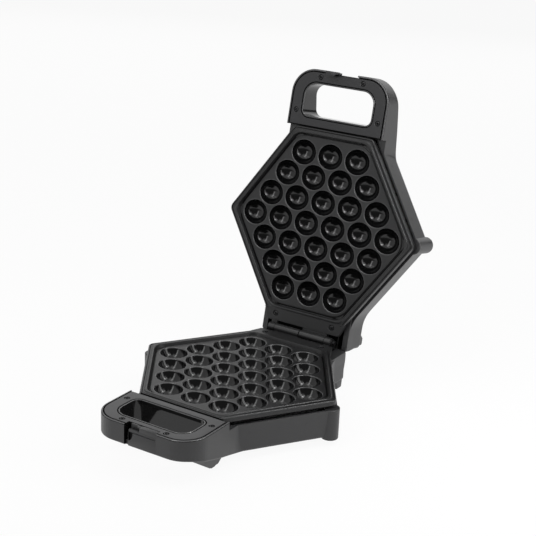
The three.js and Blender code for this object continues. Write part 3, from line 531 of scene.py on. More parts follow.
def makeHandle():
    angles = handleAngles(handleOutline(0), openOutline(0))
    top, edge = handle["top"], handle["edge"]

    def level(outline, drop):
        return atHeight(rayPoints(outline, angles), top - drop)

    def underside(points, rise=0):
        return [Vector((p.x, p.y, underZ(p.y) + rise)) for p in points]

    def between(share):
        outer = rayPoints(handleOutline(edge), angles)
        inner = rayPoints(openOutline(edge), angles)
        return underside([a.lerp(b, share) for a, b in zip(outer, inner)])

    rings = [level(handleOutline(inset), drop) for inset, drop in handle["outerRim"]]
    rings += [underside(rayPoints(handleOutline(edge * (1 - cosine)), angles), edge * (1 - sine))
              for cosine, sine in quarterTurn(5)]
    rings += [between(share) for share in (0.2, 0.5, 0.8)]
    rings += [underside(rayPoints(openOutline(edge * (1 - sine)), angles), edge * (1 - cosine))
              for cosine, sine in quarterTurn(4)]
    rings += [level(openOutline(outset), drop) for outset, drop in handle["openRim"]]
    rings.append(rings[0])
    loop = extrudeThrough("handleLoop", rings, closed=True)
    far = 90.0
    cutBlock(loop, (-far, handle["step"], shell["rim"] - limits["thinnest"]), (far, far, far))
    booleanWith(loop, tubHollow())
    return loop


# Back legs, front feet and rim tabs. A foot's edge is (inset, rise) pairs, the top's edge
# (drop, back inset, side inset), the front foot's side (y, z)
legs = {
    "outer": 52.65, "width": 12.0, "front": 84.0, "end": 125.1, "top": -5.4, "shoulder": -12.0,
    "footDrop": {"base": -45.0, "lid": -43.0}, "footInset": 3.0, "footWidth": 8.5,
    "footLength": 10.0, "radius": 2.5, "footEdge": ((0.8, 0.0), (0.25, 0.25), (0.0, 0.8)),
    "topEdge": ((1.9, 0.0, 0.0), (1.05, 0.5, 0.0), (0.35, 1.35, 0.0), (0.0, 1.75, 0.3)),
    "frontX": 44.4, "frontWidth": 8.5, "frontLean": 1.1, "frontEdge": 1.1, "frontTop": -19,
    "frontFall": 26, "frontTaper": 0.5, "frontMiddle": (-116.0, -30.0),
    "frontSide": ((-150.0, -18.2), (-150.0, -19.3), (-112.0, -44.6), (-110.6, -45.0),
                  (-99.2, -45.0), (-98.0, -44.4), (-93.0, -39.5), (-91.0, -34.0)),
    "frontPad": ((41.8, -109.3, -46.0), (44.8, -102.5, -44.3)),
    "pocket": ((41.5, 88.0, -17.0), (46.6, 123.4, -4.0)),
    "tabWidth": 3.4, "tabDepth": 6.0, "tabLow": -11.0, "tabTop": -4.8, "tabEdge": 0.4,
    "tabInset": 0.6, "padEdge": 0.3,
}


def boxRing(left, right, front, back, z, radius):
    corners = [(left, front), (right, front), (right, back), (left, back)]
    return atHeight(roundedOutline(corners, radius, 4), z)


def makeLeg(half, side):
    outer, inner = legs["outer"], legs["outer"] - legs["width"]
    drop, inset, radius = legs["footDrop"][half], legs["footInset"], legs["radius"]
    footOuter = outer - inset / 2
    footInner, footBack = footOuter - legs["footWidth"], legs["end"] - inset
    foot = (footInner, footOuter, footBack - legs["footLength"], footBack)

    def footRing(grow, z):
        return boxRing(foot[0] - grow, foot[1] + grow, foot[2] - grow, foot[3] + grow, z,
                       radius + grow)

    rings = [footRing(-inset, drop + rise) for inset, rise in legs["footEdge"]]
    low, high = drop + legs["footEdge"][-1][1], legs["shoulder"]
    for share in (0.35, 0.7, 0.9):
        eased = share * share * (3 - 2 * share)
        rings.append(boxRing(foot[0] + (inner - foot[0]) * eased,
                             foot[1] + (outer - foot[1]) * eased,
                             foot[2] + (legs["front"] - foot[2]) * eased,
                             foot[3] + (legs["end"] - foot[3]) * eased,
                             low + (high - low) * share, radius))
    rings.append(boxRing(inner, outer, legs["front"], legs["end"], high, radius))
    rings += [boxRing(inner + sideIn, outer - sideIn, legs["front"], legs["end"] - backIn,
                      legs["top"] - fall, radius) for fall, backIn, sideIn in legs["topEdge"]]
    if side < 0:
        rings = [[Vector((-p.x, p.y, p.z)) for p in reversed(ring)] for ring in rings]
    return extrudeThrough("leg", rings)


def makeFrontFoot(side):
    x, half, edge = side * legs["frontX"], legs["frontWidth"] / 2, legs["frontEdge"]
    middle, top = Vector(legs["frontMiddle"]), legs["frontTop"]
    rings = []
    for across, pull in ((-half, edge), (-half + edge * 0.3, edge * 0.3), (-half + edge, 0),
                         (half - edge, 0), (half - edge * 0.3, edge * 0.3), (half, edge)):
        ring = []
        for y, z in legs["frontSide"]:
            inward = (middle - Vector((y, z))).normalized() * pull
            low = z + (inward.y if z < top else 0)
            share = (top - low) / legs["frontFall"]
            ring.append(Vector((x - side * legs["frontLean"] * share
                                + across * (1 - legs["frontTaper"] * share), y + inward.x, low)))
        rings.append(ring)
    return extrudeThrough("frontFoot", rings)


def makeColumn(side):
    radius, low, high = shell["columnRadius"], shell["columnDrop"], shell["rim"]
    edge = shell["columnEdge"]
    profile = ((radius - edge, low), (radius - edge * 0.3, low + edge * 0.3),
               (radius, low + edge), (radius, high - edge / 2), (radius - edge / 2, high))
    return turnedPiece("column", profile, side * shell["columnX"], 0, 40)


def makeTabs():
    made = []
    wide, deep = legs["tabWidth"] / 2, legs["tabDepth"] / 2
    low, high = legs["tabLow"], legs["tabTop"]
    corners = hexCorners(shell["rimReach"] - legs["tabInset"] - deep)
    for start, end in ((0, 1), (1, 2), (3, 4), (4, 5)):
        a, b = Vector(corners[start]), Vector(corners[end])
        turn = math.atan2(b.y - a.y, b.x - a.x)
        for number in (1, 2, 3):
            place = a.lerp(b, number / 4)
            tab = makeBlock("tab", (-wide, -deep, low), (wide, deep, high), legs["tabEdge"])
            tab.rotation_euler = (0, 0, turn)
            tab.location = (place.x, place.y, (low + high) / 2)
            applyPlace(tab)
            made.append(tab)
    return made


latch = {
    "base": {"left": -16.8, "right": 18.8, "recess": 3.0, "low": -40.0,
             "cavity": ((-16.8, -158.0, -14.9), (18.8, -149.9, -0.9)), "coverCut": 7.5},
    "lid": {"left": -18.0, "right": 20.0, "recess": 3.0, "low": -6.5,
            "cavity": ((4.2, -158.5, -15.2), (20.0, -152.2, -0.9)), "coverCut": 3.5},
    "notch": ((-18.0, -166.0, -40.0), (14.0, -158.0, 6.0)),
    "lug": ((35.5, 121.9, -8.0), (44.5, 123.9, -5.2)),
}


# The two corners of a block, on the side that is asked for
def mirrored(corners, side):
    low, high = corners
    left, right = sorted((side * low[0], side * high[0]))
    return (left, *low[1:]), (right, *high[1:])


def makeShell(half):
    body = makeTub()
    booleanWith(body, makeHandle(), "UNION")
    for side in (-1, 1):
        booleanWith(body, makeLeg(half, side), "UNION")
        if half == "lid":
            cutBlock(body, *mirrored(legs["pocket"], side))
        booleanWith(body, makeColumn(side), "UNION")
        if half == "base":
            booleanWith(body, makeFrontFoot(side), "UNION")
    wall, overrun = shell["wall"], 5
    reach, back = shell["troughHalf"] + shell["troughLap"], shell["backY"] - shell["troughLap"]
    front, low = shell["troughFront"], shell["troughFloor"]
    addBlock(body, (-reach, front - wall, low - wall), (reach, back, low))
    addBlock(body, (-reach, front - wall, low - shell["troughSink"]),
             (reach, front, shell["rim"]))
    place = latch[half]
    cutBlock(body, (place["left"], handle["tip"] - overrun, place["low"]),
             (place["right"], handle["tip"] + place["recess"], 6))
    cutBlock(body, *place["cavity"])
    if half == "lid":
        cutBlock(body, *latch["notch"])
    else:
        for side in (1, -1):
            addBlock(body, *mirrored(latch["lug"], side))
        for i in range(shell["ventCount"]):
            left = (i - (shell["ventCount"] - 1) / 2) * shell["ventPitch"] - shell["ventWidth"] / 2
            cutBlock(body, (left, shell["ventFront"], shell["floor"] - 1),
                     (left + shell["ventWidth"], shell["ventBack"], shell["floor"] + wall + 1))
    return joinPieces("shell", [body, *makeTabs()])


# Handle cover with its screw pockets
cover = {
    "inset": 3.05, "bottom": -1.0, "top": 1.5, "edge": 0.45, "back": -101.4, "openOutset": 2.45,
    "screws": ((-25.0, -153.0), (25.0, -153.0), (-48.6, -116.0), (48.6, -116.0)),
    "corner": 0.9, "steep": 0.3, "seamTop": 0.4, "pocketRadius": 2.75, "pocketFloor": 0.0,
    "pocketFlare": 0.35,
}


def makeCover(half):
    def outer(pull):
        inset = cover["inset"] + pull
        side, front = handle["half"] - inset, handle["tip"] + inset
        ends = handle["tipRadius"] - inset
        back, corner = cover["back"] - pull, cover["corner"]
        return roundedOutline([(-side, back), (-side, front), (side, front), (side, back)],
                              [corner, ends, ends, corner], 12)

    def inner(push):
        return openOutline(cover["openOutset"] + push)

    angles = handleAngles(outer(0), inner(0))
    edge, low, high = cover["edge"], cover["bottom"], cover["top"]
    rings = []
    for outline, z in ((outer(0), low), (outer(0), high - edge),
                       (outer(edge * 0.3), high - edge * 0.3), (outer(edge), high),
                       (inner(edge), high), (inner(edge * 0.3), high - edge * 0.3),
                       (inner(0), high - edge), (inner(0), low)):
        rings.append(atHeight(rayPoints(outline, angles), z))
    rings.append(rings[0])
    panel = extrudeThrough("panel", rings, closed=True)
    for x, y in cover["screws"]:
        cutPocket(panel, x, y, high, cover)
    place, overrun = latch[half], 5
    cutBlock(panel, (place["left"], handle["tip"] - overrun, -overrun),
             (place["right"], handle["tip"] + place["coverCut"], overrun))
    return panel


# Cross-head screws: one is modelled and copied
screws = {"radius": 2.3, "height": 1.25, "crown": ((0.93, 0.72), (0.75, 0.9), (0.45, 0.98)),
          "crownRadius": 0.3, "slotLength": 3.1, "slotWidth": 0.95, "slotDepth": 0.9,
          "darkDrop": 0.3, "darkInset": 0.4, "coverFloor": 0.1, "plateFloor": 0.5}


def makeScrew():
    radius, height = screws["radius"], screws["height"]
    profile = [(radius * 0.96, 0), (radius, 0.15), (radius, height * 0.45)]
    profile += [(radius * wide, height * high) for wide, high in screws["crown"]]
    head = turnedPiece("screwHead", profile + [(screws["crownRadius"], height)])
    length, width = screws["slotLength"] / 2, screws["slotWidth"] / 2
    low = height - screws["slotDepth"]
    cutBlock(head, (-length, -width, low), (length, width, 4))
    cutBlock(head, (-width, -length, low), (width, length, 4))
    return head


# Whether a point lies in a zone of (low, high) pairs for x, y and z
def inZone(point, zone):
    return all(low < value < high for value, (low, high) in zip(point, zone))


# Latch slider: the face that is pushed, with a grip opening, and the upright with its nose.
# Its parts (body, bar, upright, stop, nose and rail) are (low corner, high corner, edge), its
# grip is an outline in x and z
slider = {
    "face": ((-12.6, -160.2, -19.0), (18.5, -157.9, -5.5), 0.35),
    "parts": (((-12.6, -158.0, -14.6), (18.5, -153.4, -5.5), 0.0),
              ((-12.6, -159.3, -6.0), (18.5, -157.0, -2.6), 0.3),
              ((-12.6, -155.2, -5.8), (18.5, -153.4, 1.3), 0.3),
              ((-0.6, -159.3, -3.0), (18.5, -154.0, 1.3), 0.3),
              ((-4.4, -157.2, -0.2), (1.6, -153.4, 1.3), 0.2),
              ((-12.6, -153.7, -14.6), (18.5, -150.2, -11.7), 0.0)),
    "grip": ((-12.2, -5.2), (-7.3, -5.2), (-7.5, -8.0), (-8.6, -11.0), (-10.4, -13.2),
             (-12.2, -14.0)),
    "gripDepth": 1.7, "gripRadius": 0.6, "gripZone": ((-12.5, -7.0), (0.5, 1.8), (-15.0, -4.5)),
}


def makeSlider():
    made = makeBlock("sliderFace", *slider["face"])
    for part in slider["parts"]:
        addBlock(made, *part)
    front = slider["face"][0][1]
    rings = [[Vector((x, y, z)) for x, z in roundedOutline(slider["grip"], slider["gripRadius"], 3)]
             for y in (front - 2, front + slider["gripDepth"])]
    booleanWith(made, extrudeThrough("grip", rings))
    dress(made, "shell", "paintedShade")
    # The inside of the grip opening gets painted shade
    for face in made.data.polygons:
        if inZone(face.center - Vector((0, front, 0)), slider["gripZone"]):
            face.material_index = 1
    return made


# A copy of a CAD node with its edges rounded, in metres as the node is
softening = {"width": 0.0003, "merge": 0.00002, "flat": 2, "sharp": 35, "smooth": 40}


def softenNode(node, half):
    piece = copyPiece(frame["nodes"][node], node + "Soft")
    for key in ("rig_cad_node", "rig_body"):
        if key in piece:
            del piece[key]
    pickOnly(piece)
    bpy.ops.object.mode_set(mode="EDIT")
    bpy.ops.mesh.select_all(action="SELECT")
    bpy.ops.mesh.remove_doubles(threshold=softening["merge"])
    bpy.ops.mesh.dissolve_limited(angle_limit=math.radians(softening["flat"]))
    bpy.ops.object.mode_set(mode="OBJECT")
    applyModifier(piece, "BEVEL", width=softening["width"], segments=2, limit_method="ANGLE",
                  angle_limit=math.radians(softening["sharp"]))
    bpy.ops.object.shade_smooth_by_angle(angle=math.radians(softening["smooth"]))
    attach(piece, half)
    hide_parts(node)


# Finishes, each a noise-driven surface on Object coordinates: color, roughness low and high,
# specular, grain scale and depth, cloud scale, tint, metallic
finishes = {
    "shell": ((0.03, 0.03, 0.031), (0.34, 0.44), 0.5, 1500, 0.00004, 18, 0.12, 0.0),
    "cover": ((0.018, 0.018, 0.0195), (0.3, 0.38), 0.5, 1800, 0.00003, 25, 0.1, 0.0),
    "coating": ((0.015, 0.015, 0.0155), (0.36, 0.46), 0.45, 2600, 0.00005, 30, 0.15, 0.0),
    # Darker than the coating: painted shade in the cups, and glossier
    "cell": ((0.004, 0.004, 0.0042), (0.08, 0.12), 0.45, 2600, 0.00002, 40, 0.1, 0.0),
    # Near black: painted shade in hollows, seams, gaps, grooves, recesses and cross slots
    "paintedShade": ((0.002, 0.002, 0.002), (0.6, 0.75), 0.12, 1500, 0.00004, 18, 0.12, 0.0),
    # Darker than the shell as painted shade inside the handle's opening, and glossy
    "shadedOpenWall": ((0.006, 0.006, 0.0062), (0.06, 0.1), 0.42, 1500, 0.00001, 18, 0.12, 0.0),
    "barrel": ((0.016, 0.016, 0.0165), (0.24, 0.32), 0.6, 2600, 0.00003, 40, 0.12, 0.0),
    # Lighter than the shell: a painted highlight on the handle rim's bevel, with real gloss
    "rimEdge": ((0.07, 0.07, 0.072), (0.12, 0.2), 1.0, 2600, 0.00002, 60, 0.15, 0.0),
    # Lighter than the coating: a painted highlight on the cells' lips and the plate's outer top edge
    "lipHighlight": ((0.045, 0.045, 0.046), (0.2, 0.28), 0.85, 2600, 0.00002, 60, 0.15, 0.0),
    "darkSteel": ((0.015, 0.015, 0.016), (0.35, 0.5), 0.5, 3000, 0.00002, 60, 0.2, 0.6),
    "steel": ((0.32, 0.32, 0.33), (0.25, 0.4), 0.5, 2500, 0.00002, 60, 0.2, 1.0),
    "pan": ((0.5, 0.51, 0.52), (0.3, 0.45), 0.5, 900, 0.00003, 30, 0.1, 1.0),
    "rubber": ((0.012, 0.012, 0.012), (0.75, 0.9), 0.4, 1200, 0.00006, 60, 0.2, 0.0),
    "ceramic": ((0.65, 0.62, 0.55), (0.6, 0.75), 0.4, 1800, 0.00005, 80, 0.1, 0.0),
    "redLens": ((0.35, 0.012, 0.008), (0.08, 0.14), 0.5, 900, 0.00001, 90, 0.1, 0.0),
    "greenLens": ((0.012, 0.19, 0.03), (0.08, 0.14), 0.5, 900, 0.00001, 90, 0.1, 0.0),
}

# How every finish mixes its noise: shares of grain and cloud, range of the mix, bump
noiseMix = {"grainShare": 0.5, "cloudShare": 0.5, "low": 0.3, "high": 0.7, "bump": 0.35,
            "cloudDetail": 4, "grainDetail": 2}


# A math node whose inputs are other nodes' outputs or plain numbers
def mathNode(tree, operation, *values):
    node = tree.nodes.new("ShaderNodeMath")
    node.operation = operation
    for place, value in enumerate(values):
        if isinstance(value, float):
            node.inputs[place].default_value = value
        else:
            tree.links.new(value, node.inputs[place])
    return node.outputs[0]


def noiseNode(tree, place, scale, detail):
    node = tree.nodes.new("ShaderNodeTexNoise")
    node.inputs["Scale"].default_value = scale
    node.inputs["Detail"].default_value = detail
    tree.links.new(place, node.inputs["Vector"])
    return node.outputs["Fac"]


def rangeNode(tree, value, source, target, easing="LINEAR"):
    node = tree.nodes.new("ShaderNodeMapRange")
    node.interpolation_type = easing
    for key, number in zip(("From Min", "From Max", "To Min", "To Max"), (*source, *target)):
        node.inputs[key].default_value = number
    tree.links.new(value, node.inputs["Value"])
    return node.outputs["Result"]


def makeFinish(name):
    tone, roughness, specular, grainScale, grainDepth, cloudScale, tint, metallic = finishes[name]
    made = bpy.data.materials.new(name + "Finish")
    made.use_nodes = True
    tree = made.node_tree
    surface = tree.nodes["Principled BSDF"]
    surface.inputs["Metallic"].default_value = metallic
    surface.inputs["Specular IOR Level"].default_value = specular
    place = tree.nodes.new("ShaderNodeTexCoord").outputs["Object"]
    cloud = noiseNode(tree, place, cloudScale, noiseMix["cloudDetail"])
    grain = noiseNode(tree, place, grainScale, noiseMix["grainDetail"])
    blend = mathNode(tree, "MULTIPLY_ADD", grain, noiseMix["grainShare"],
                     mathNode(tree, "MULTIPLY", cloud, noiseMix["cloudShare"]))
    color = tree.nodes.new("ShaderNodeMix")
    color.data_type = "RGBA"
    for socket, sign in ((6, -1), (7, 1)):
        shade = [part * (1 + sign * tint) for part in tone]
        color.inputs[socket].default_value = (*shade, 1)
    tree.links.new(blend, color.inputs[0])
    tree.links.new(color.outputs[2], surface.inputs["Base Color"])
    rough = rangeNode(tree, blend, (noiseMix["low"], noiseMix["high"]), roughness)
    tree.links.new(rough, surface.inputs["Roughness"])
    bump = tree.nodes.new("ShaderNodeBump")
    bump.inputs["Strength"].default_value = noiseMix["bump"]
    bump.inputs["Distance"].default_value = grainDepth
    tree.links.new(grain, bump.inputs["Height"])
    tree.links.new(bump.outputs["Normal"], surface.inputs["Normal"])
    return made


materials = {name: makeFinish(name) for name in finishes}
print("finishes made")


# The first finish named is the one that all faces get
def dress(obj, *names):
    obj.data.materials.clear()
    for name in names:
        obj.data.materials.append(materials[name])
    for face in obj.data.polygons:
        face.material_index = 0


# A rule names each face's finish
def dressBy(obj, names, rule):
    dress(obj, *names)
    for face in obj.data.polygons:
        face.material_index = names.index(rule(face))


# Finishes of the CAD nodes: the last key that is in a node's name counts
nodeFinishes = {
    "shell": "shell", "handle_cover": "cover", "plate": "coating", "heater": "steel",
    "reflector": "pan", "screw": "darkSteel", "thermostat": "steel", "terminal": "ceramic",
    "gland": "rubber", "pad": "rubber", "hinge": "darkSteel", "slider": "shell",
    "catch": "cover", "fuse": "ceramic", "power": "redLens", "ready": "greenLens",
    "reflector_screw": "steel",
}
for node, obj in frame["nodes"].items():
    dress(obj, [finish for key, finish in nodeFinishes.items() if key in node][-1])

# On the plate, the cups get painted shade in the darker cell finish, the lips and the outer top edge
# a painted highlight, and the groove, the step and the gaps beside the edge painted shade
# Where the plate's finishes lie. Cell and lip: distance from a cell's middle, lowest and highest
# z. Bands: finish, least and greatest reach from the cell field, lowest and highest z
plateZones = {
    "finishes": ("coating", "cell", "lipHighlight", "paintedShade", "barrel"),
    "cell": (13.7, -12.6, -0.9), "lip": (14.6, -0.9, -0.02), "facing": -0.05,
    "hingeFrom": 110, "barrelSlack": 0.1, "bandsReach": 27, "bandsTo": 98,
    "panelReach": 26, "panelSide": -98.8, "panelTop": 1.7,
    "bands": (("paintedShade", 26, 27, -9.0, -3.0), ("paintedShade", 24.3, 24.95, -9.0, 9.0),
              ("lipHighlight", 26.0, 26.7, 1, 9.0), ("barrel", 22.3, 22.9, 2.3, 9.0),
              ("barrel", 20.4, 20.9, -9.0, 9.0), ("paintedShade", 18.0, 19.3, -9.0, -1.1)),
}


def plateFinish(face):
    x, y, z = face.center
    reach, zones = reachOf(x, y), plateZones
    nearest = min(math.hypot((x - cx) / plate["cellSpread"][0], (y - cy) / plate["cellSpread"][1])
                  for cx, cy in cellCentres())
    fromHinge = math.hypot(y - hingePoint.y, z - hingePoint.z)
    if y > zones["hingeFrom"] and fromHinge < knuckles["radius"] + zones["barrelSlack"]:
        return "barrel"
    # The cups: painted shade in a darker finish; their lips: a painted highlight
    away, low, high = zones["cell"]
    if low < z < high and nearest < away and face.normal.z > zones["facing"]:
        return "cell"
    away, low, high = zones["lip"]
    if low <= z < high and nearest < away:
        return "lipHighlight"
    if reach >= zones["bandsReach"] or y >= zones["bandsTo"]:
        return "coating"
    # Painted shade on the plate's sides beside the handle panel; the bands put painted shade in the
    # groove, the step and under the edge, and a painted highlight on the outer top edge
    if reach > zones["panelReach"] and y < zones["panelSide"] and z < zones["panelTop"]:
        return "paintedShade"
    for finish, near, far, low, high in zones["bands"]:
        if near < reach < far and low < z < high:
            return finish
    return "coating"


# Plates: one casting is modelled, and the lid's is a copy of it
firstPlate = makePlate()
firstPlate = joinPieces("basePlateCast", [firstPlate, *makeKnuckles()])
dressBy(firstPlate, plateZones["finishes"], plateFinish)
secondPlate = copyPiece(firstPlate, "lidPlateCast")
settle(firstPlate, "base", "base_plate")
settle(secondPlate, "lid", "lid_plate")
for obj in (firstPlate, secondPlate):
    applyModifier(obj, "WEIGHTED_NORMAL", keep_sharp=True)
print("plates made", len(firstPlate.data.polygons))

# Hollows and seams get painted shade, the walls of the handle's opening shine and carry painted shade
# in their darker colour, its rim has a painted highlight on its edge
shellZones = {
    "finishes": ("shell", "paintedShade", "shadedOpenWall", "rimEdge"),
    "legPocket": ((41.3, 46.8), (87.8, 123.6), (-17.2, -5.6)),
    "steep": 0.3, "level": 0.98, "slack": 0.3, "insideSlack": 0.5, "backSlack": 0.4, "backFrom": 80,
    "middleY": 20, "inward": 0.05, "hollowDrop": 0.1, "seam": (-1.45, 1.25), "seatTop": -1.2,
    "rimFrom": 0.4, "backSeam": (-2.2, 1.2), "cornerSlack": 0.5,
    "recess": (0.1, 9), "recessTop": 1, "recessBack": 3.1, "recessSide": 0.2,
}


# Whether a face lies inside the tub's hollow, which gets painted shade
def insideTub(face):
    x, y, z = face.center
    wall, zones = shell["wall"], shellZones
    inside = reachOf(x, y) < shell["rimReach"] - wall + zones["insideSlack"]
    behind = (y > zones["backFrom"] and abs(x) < shell["backHalf"] - wall + zones["backSlack"]
              and y < shell["backY"] - wall + zones["backSlack"])
    inward = x * face.normal.x + (y - zones["middleY"]) * face.normal.y < zones["inward"]
    return ((inside or behind) and inward
            and shell["floor"] + wall - zones["slack"] < z < shell["rim"] - zones["hollowDrop"])


# Whether a face lies in the latch's recess, which gets painted shade
def inRecess(x, y, z, place):
    zones, side = shellZones, shellZones["recessSide"]
    fromTip = y - handle["tip"]
    near, far = zones["recess"]
    return (place["left"] - side < x < place["right"] + side and near < fromTip < far
            and z < zones["recessTop"]
            and (abs(x - place["left"]) < side or fromTip > zones["recessBack"]))


def shellFinish(face, half):
    x, y, z = face.center
    zones, slack, tilt = shellZones, shellZones["slack"], abs(face.normal.z)
    steep = tilt < zones["steep"]
    onWall = (abs(x) < handle["openHalf"] + slack
              and handle["openFront"] - slack < y < handle["openBack"] + slack)
    straightHalf = handle["openHalf"] - handle["openBackRadius"] + zones["cornerSlack"]
    # The latch recess and the pockets behind the lid's legs get painted shade
    if half == "base" and inRecess(x, y, z, latch[half]):
        return "paintedShade"
    if half == "lid" and inZone((abs(x), y, z), zones["legPocket"]):
        return "paintedShade"
    if y > handle["step"]:
        return "paintedShade" if insideTub(face) else "shell"
    # Painted shade on the walls of the seam round the panel's seat
    low, high = zones["seam"]
    if (steep or z < zones["seatTop"]) and low < z < high and not onWall:
        return "paintedShade"
    # Painted highlight on the rim's bevel, in the lighter rimEdge finish
    if z > zones["rimFrom"] and zones["steep"] <= tilt < zones["level"]:
        return "rimEdge"
    # Painted shadow in a band under the panel's edge at the opening's back
    low, high = zones["backSeam"]
    if steep and y > handle["openBack"] - slack and low < z < high and abs(x) < straightHalf:
        return "paintedShade"
    # The opening's walls: glossy, with painted shade in their darker colour
    return "shadedOpenWall" if steep and onWall else "shell"


for half in halves:
    body = makeShell(half)
    body.name = half + "ShellMoulding"
    dressBy(body, shellZones["finishes"], lambda face: shellFinish(face, half))
    settle(body, half, half + "_shell")
    applyModifier(body, "WEIGHTED_NORMAL", keep_sharp=True)
    print(half, "shell made", len(body.data.polygons))
    panel = makeCover(half)
    panel.name = half + "HandlePanel"
    # The panel's sides and underside, down in its seam, get painted shade
    dress(panel, "cover", "paintedShade")
    for face in panel.data.polygons:
        if abs(face.normal.z) < cover["steep"] or face.center.z < cover["seamTop"]:
            face.material_index = 1
    settle(panel, half, half + "_handle_cover")
    applyModifier(panel, "WEIGHTED_NORMAL", keep_sharp=True)
    print(half, "panel made")

firstScrew = makeScrew()
# The cross slot inside the head gets painted shade
dress(firstScrew, "cover", "paintedShade")
for face in firstScrew.data.polygons:
    fromMiddle = math.hypot(*face.center[:2])
    if (face.center.z < screws["height"] - screws["darkDrop"]
            and fromMiddle < screws["radius"] - screws["darkInset"]):
        face.material_index = 1
screwPlaces = [("cover_screw_%d" % number, x, y, screws["coverFloor"], 35 * number - 15)
               for number, (x, y) in enumerate(cover["screws"], 1)]
screwPlaces += [("plate_screw_%d" % number, side * plate["screwX"], plate["screwY"],
                 screws["plateFloor"], 50 * number - 35) for number, side in ((1, -1), (2, 1))]
for half in halves:
    for name, x, y, z, turn in screwPlaces:
        copied = copyPiece(firstScrew, half + "_" + name + "_head")
        copied.matrix_world = (Matrix.Translation((x, y, z))
                               @ Matrix.Rotation(math.radians(turn), 4, "Z"))
        settle(copied, half, half + "_" + name)
removePiece(firstScrew)
for number, side in ((1, -1), (2, 1)):
    pad = makeBlock("frontPad%d" % number, *mirrored(legs["frontPad"], side), legs["padEdge"])
    dress(pad, "rubber")
    settle(pad, "base", "foot_pad_%d" % number)
firstSlider = makeSlider()
settle(firstSlider, "base", "latch_slider")
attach(firstSlider, "latch")
softenNode("lid_catch", "lid")
print("screws and latch made")

# Floor, light and camera. Lamps: azimuth from the handle's side towards +x, elevation, seen
# width and height, all in degrees, then glow and distance
studio = {"floorSize": 14.0, "ambient": 0.14, "aim": (0.0, 0.02, 0.07), "floorGlow": 0.93,
          "floorFront": (0.529, -0.848, 0.0), "floorFade": (0.3, 0.62), "floorFrontShade": 0.2,
          "floorTone": (0.86, 0.86, 0.86), "floorRoughness": 0.9, "floorSpecular": 0.1,
          "lamps": (("leftSoft", -42, 27, 66, 54, 0.66, 2.2), ("leftEdge", -8, 38, 9, 56, 3.0, 1.6),
                    ("rightStrip", 94, 22, 20, 56, 2.8, 0.5), ("rightTop", 96, 55, 50, 12, 2.1, 0.9),
                    ("rightSoft", 80, 44, 30, 24, 0.9, 0.8), ("rightBack", 130, 22, 26, 36, 0.8, 1.6),
                    ("leftTop", -26, 63, 64, 22, 0.9, 1.0), ("topSoft", 30, 84, 50, 50, 0.85, 1.0),
                    ("leftHot", -16, 52, 8, 8, 2.5, 1.2), ("rightHot", 88, 51, 11, 9, 7.0, 0.56),
                    ("backSoft", -155, 27, 74, 42, 1.0, 2.2))}

world = bpy.data.worlds.new("studioWorld")
bpy.context.scene.world = world
world.use_nodes = True
sky = world.node_tree.nodes["Background"]
sky.inputs["Color"].default_value = (1, 1, 1, 1)
sky.inputs["Strength"].default_value = studio["ambient"]


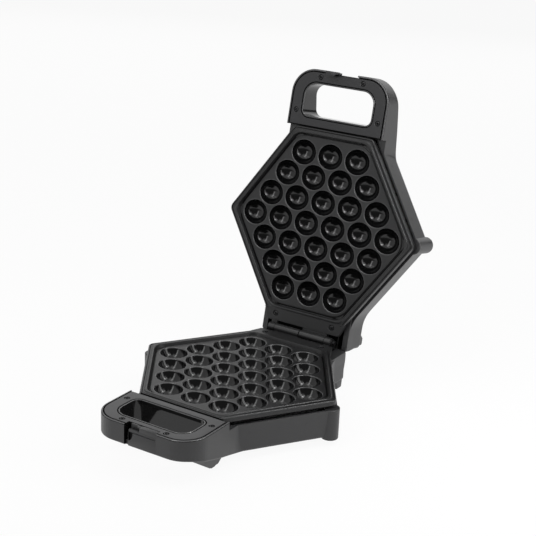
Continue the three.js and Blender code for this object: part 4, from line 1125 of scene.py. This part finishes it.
# White where the camera, a mirror or a clear piece looks at it, a plain floor for the lamps; towards
# the front its colour and glow fade to a painted shade, so that glossy parts reflect a dark front
def makeFloorLook():
    made = bpy.data.materials.new("floorLook")
    made.use_nodes = True
    tree = made.node_tree
    surface = tree.nodes["Principled BSDF"]
    surface.inputs["Roughness"].default_value = studio["floorRoughness"]
    surface.inputs["Specular IOR Level"].default_value = studio["floorSpecular"]
    ahead = tree.nodes.new("ShaderNodeVectorMath")
    ahead.operation = "DOT_PRODUCT"
    ahead.inputs[1].default_value = studio["floorFront"]
    tree.links.new(tree.nodes.new("ShaderNodeTexCoord").outputs["Object"], ahead.inputs[0])
    fade = rangeNode(tree, ahead.outputs["Value"], studio["floorFade"],
                     (1.0, studio["floorFrontShade"]), "SMOOTHSTEP")
    tone = tree.nodes.new("ShaderNodeVectorMath")
    tone.operation = "SCALE"
    tone.inputs[0].default_value = studio["floorTone"]
    tree.links.new(fade, tone.inputs["Scale"])
    tree.links.new(tone.outputs[0], surface.inputs["Base Color"])
    glow = tree.nodes.new("ShaderNodeEmission")
    tree.links.new(fade, glow.inputs["Strength"])
    rays = tree.nodes.new("ShaderNodeLightPath").outputs
    seen = mathNode(tree, "MAXIMUM", rays["Is Camera Ray"], rays["Is Glossy Ray"])
    seen = mathNode(tree, "MAXIMUM", seen, rays["Is Transmission Ray"])
    mix = tree.nodes.new("ShaderNodeMixShader")
    inputs = (mathNode(tree, "MULTIPLY", seen, studio["floorGlow"]), surface.outputs[0],
              glow.outputs[0])
    for socket, value in enumerate(inputs):
        tree.links.new(value, mix.inputs[socket])
    tree.links.new(mix.outputs[0], tree.nodes["Material Output"].inputs["Surface"])
    return made


bpy.ops.object.select_all(action="DESELECT")
bpy.ops.mesh.primitive_plane_add(size=studio["floorSize"], location=(0, 0, 0))
floor = bpy.context.object
floor.name = "studioFloor"
floor.data.materials.append(makeFloorLook())


def direction(azimuth, elevation):
    around, above = math.radians(azimuth), math.radians(elevation)
    return Vector((math.sin(around) * math.cos(above), -math.cos(around) * math.cos(above),
                   math.sin(above)))


aim = Vector(studio["aim"])
for name, azimuth, elevation, wide, tall, glow, far in studio["lamps"]:
    away = direction(azimuth, elevation)
    bpy.ops.object.light_add(type="AREA", location=aim + away * far)
    lamp = bpy.context.object
    lamp.name = name
    lamp.data.shape = "RECTANGLE"
    lamp.data.size = 2 * far * math.tan(math.radians(wide / 2))
    lamp.data.size_y = 2 * far * math.tan(math.radians(tall / 2))
    lamp.data.energy = math.pi * lamp.data.size * lamp.data.size_y * glow
    lamp.rotation_euler = (-away).to_track_quat("-Z", "Y").to_euler()

view = {"azimuth": 31.932, "elevation": 19.5, "roll": 2.417, "lens": 88.85,
        "place": (0.6570, -1.02758, 0.5830), "sensor": 36.0, "farthest": 50}
back = direction(view["azimuth"], view["elevation"])
right = (-back).cross(Vector((0, 0, 1))).normalized()
up = right.cross(-back)
roll = math.radians(view["roll"])
right, up = (right * math.cos(roll) + up * math.sin(roll),
             up * math.cos(roll) - right * math.sin(roll))
bpy.ops.object.camera_add(location=view["place"])
camera = bpy.context.object
camera.rotation_euler = Matrix((right, up, back)).transposed().to_euler()
camera.data.lens = view["lens"]
camera.data.sensor_width = view["sensor"]
camera.data.clip_end = view["farthest"]
bpy.context.scene.camera = camera
bpy.context.scene.view_settings.view_transform = "Standard"
print("studio made")
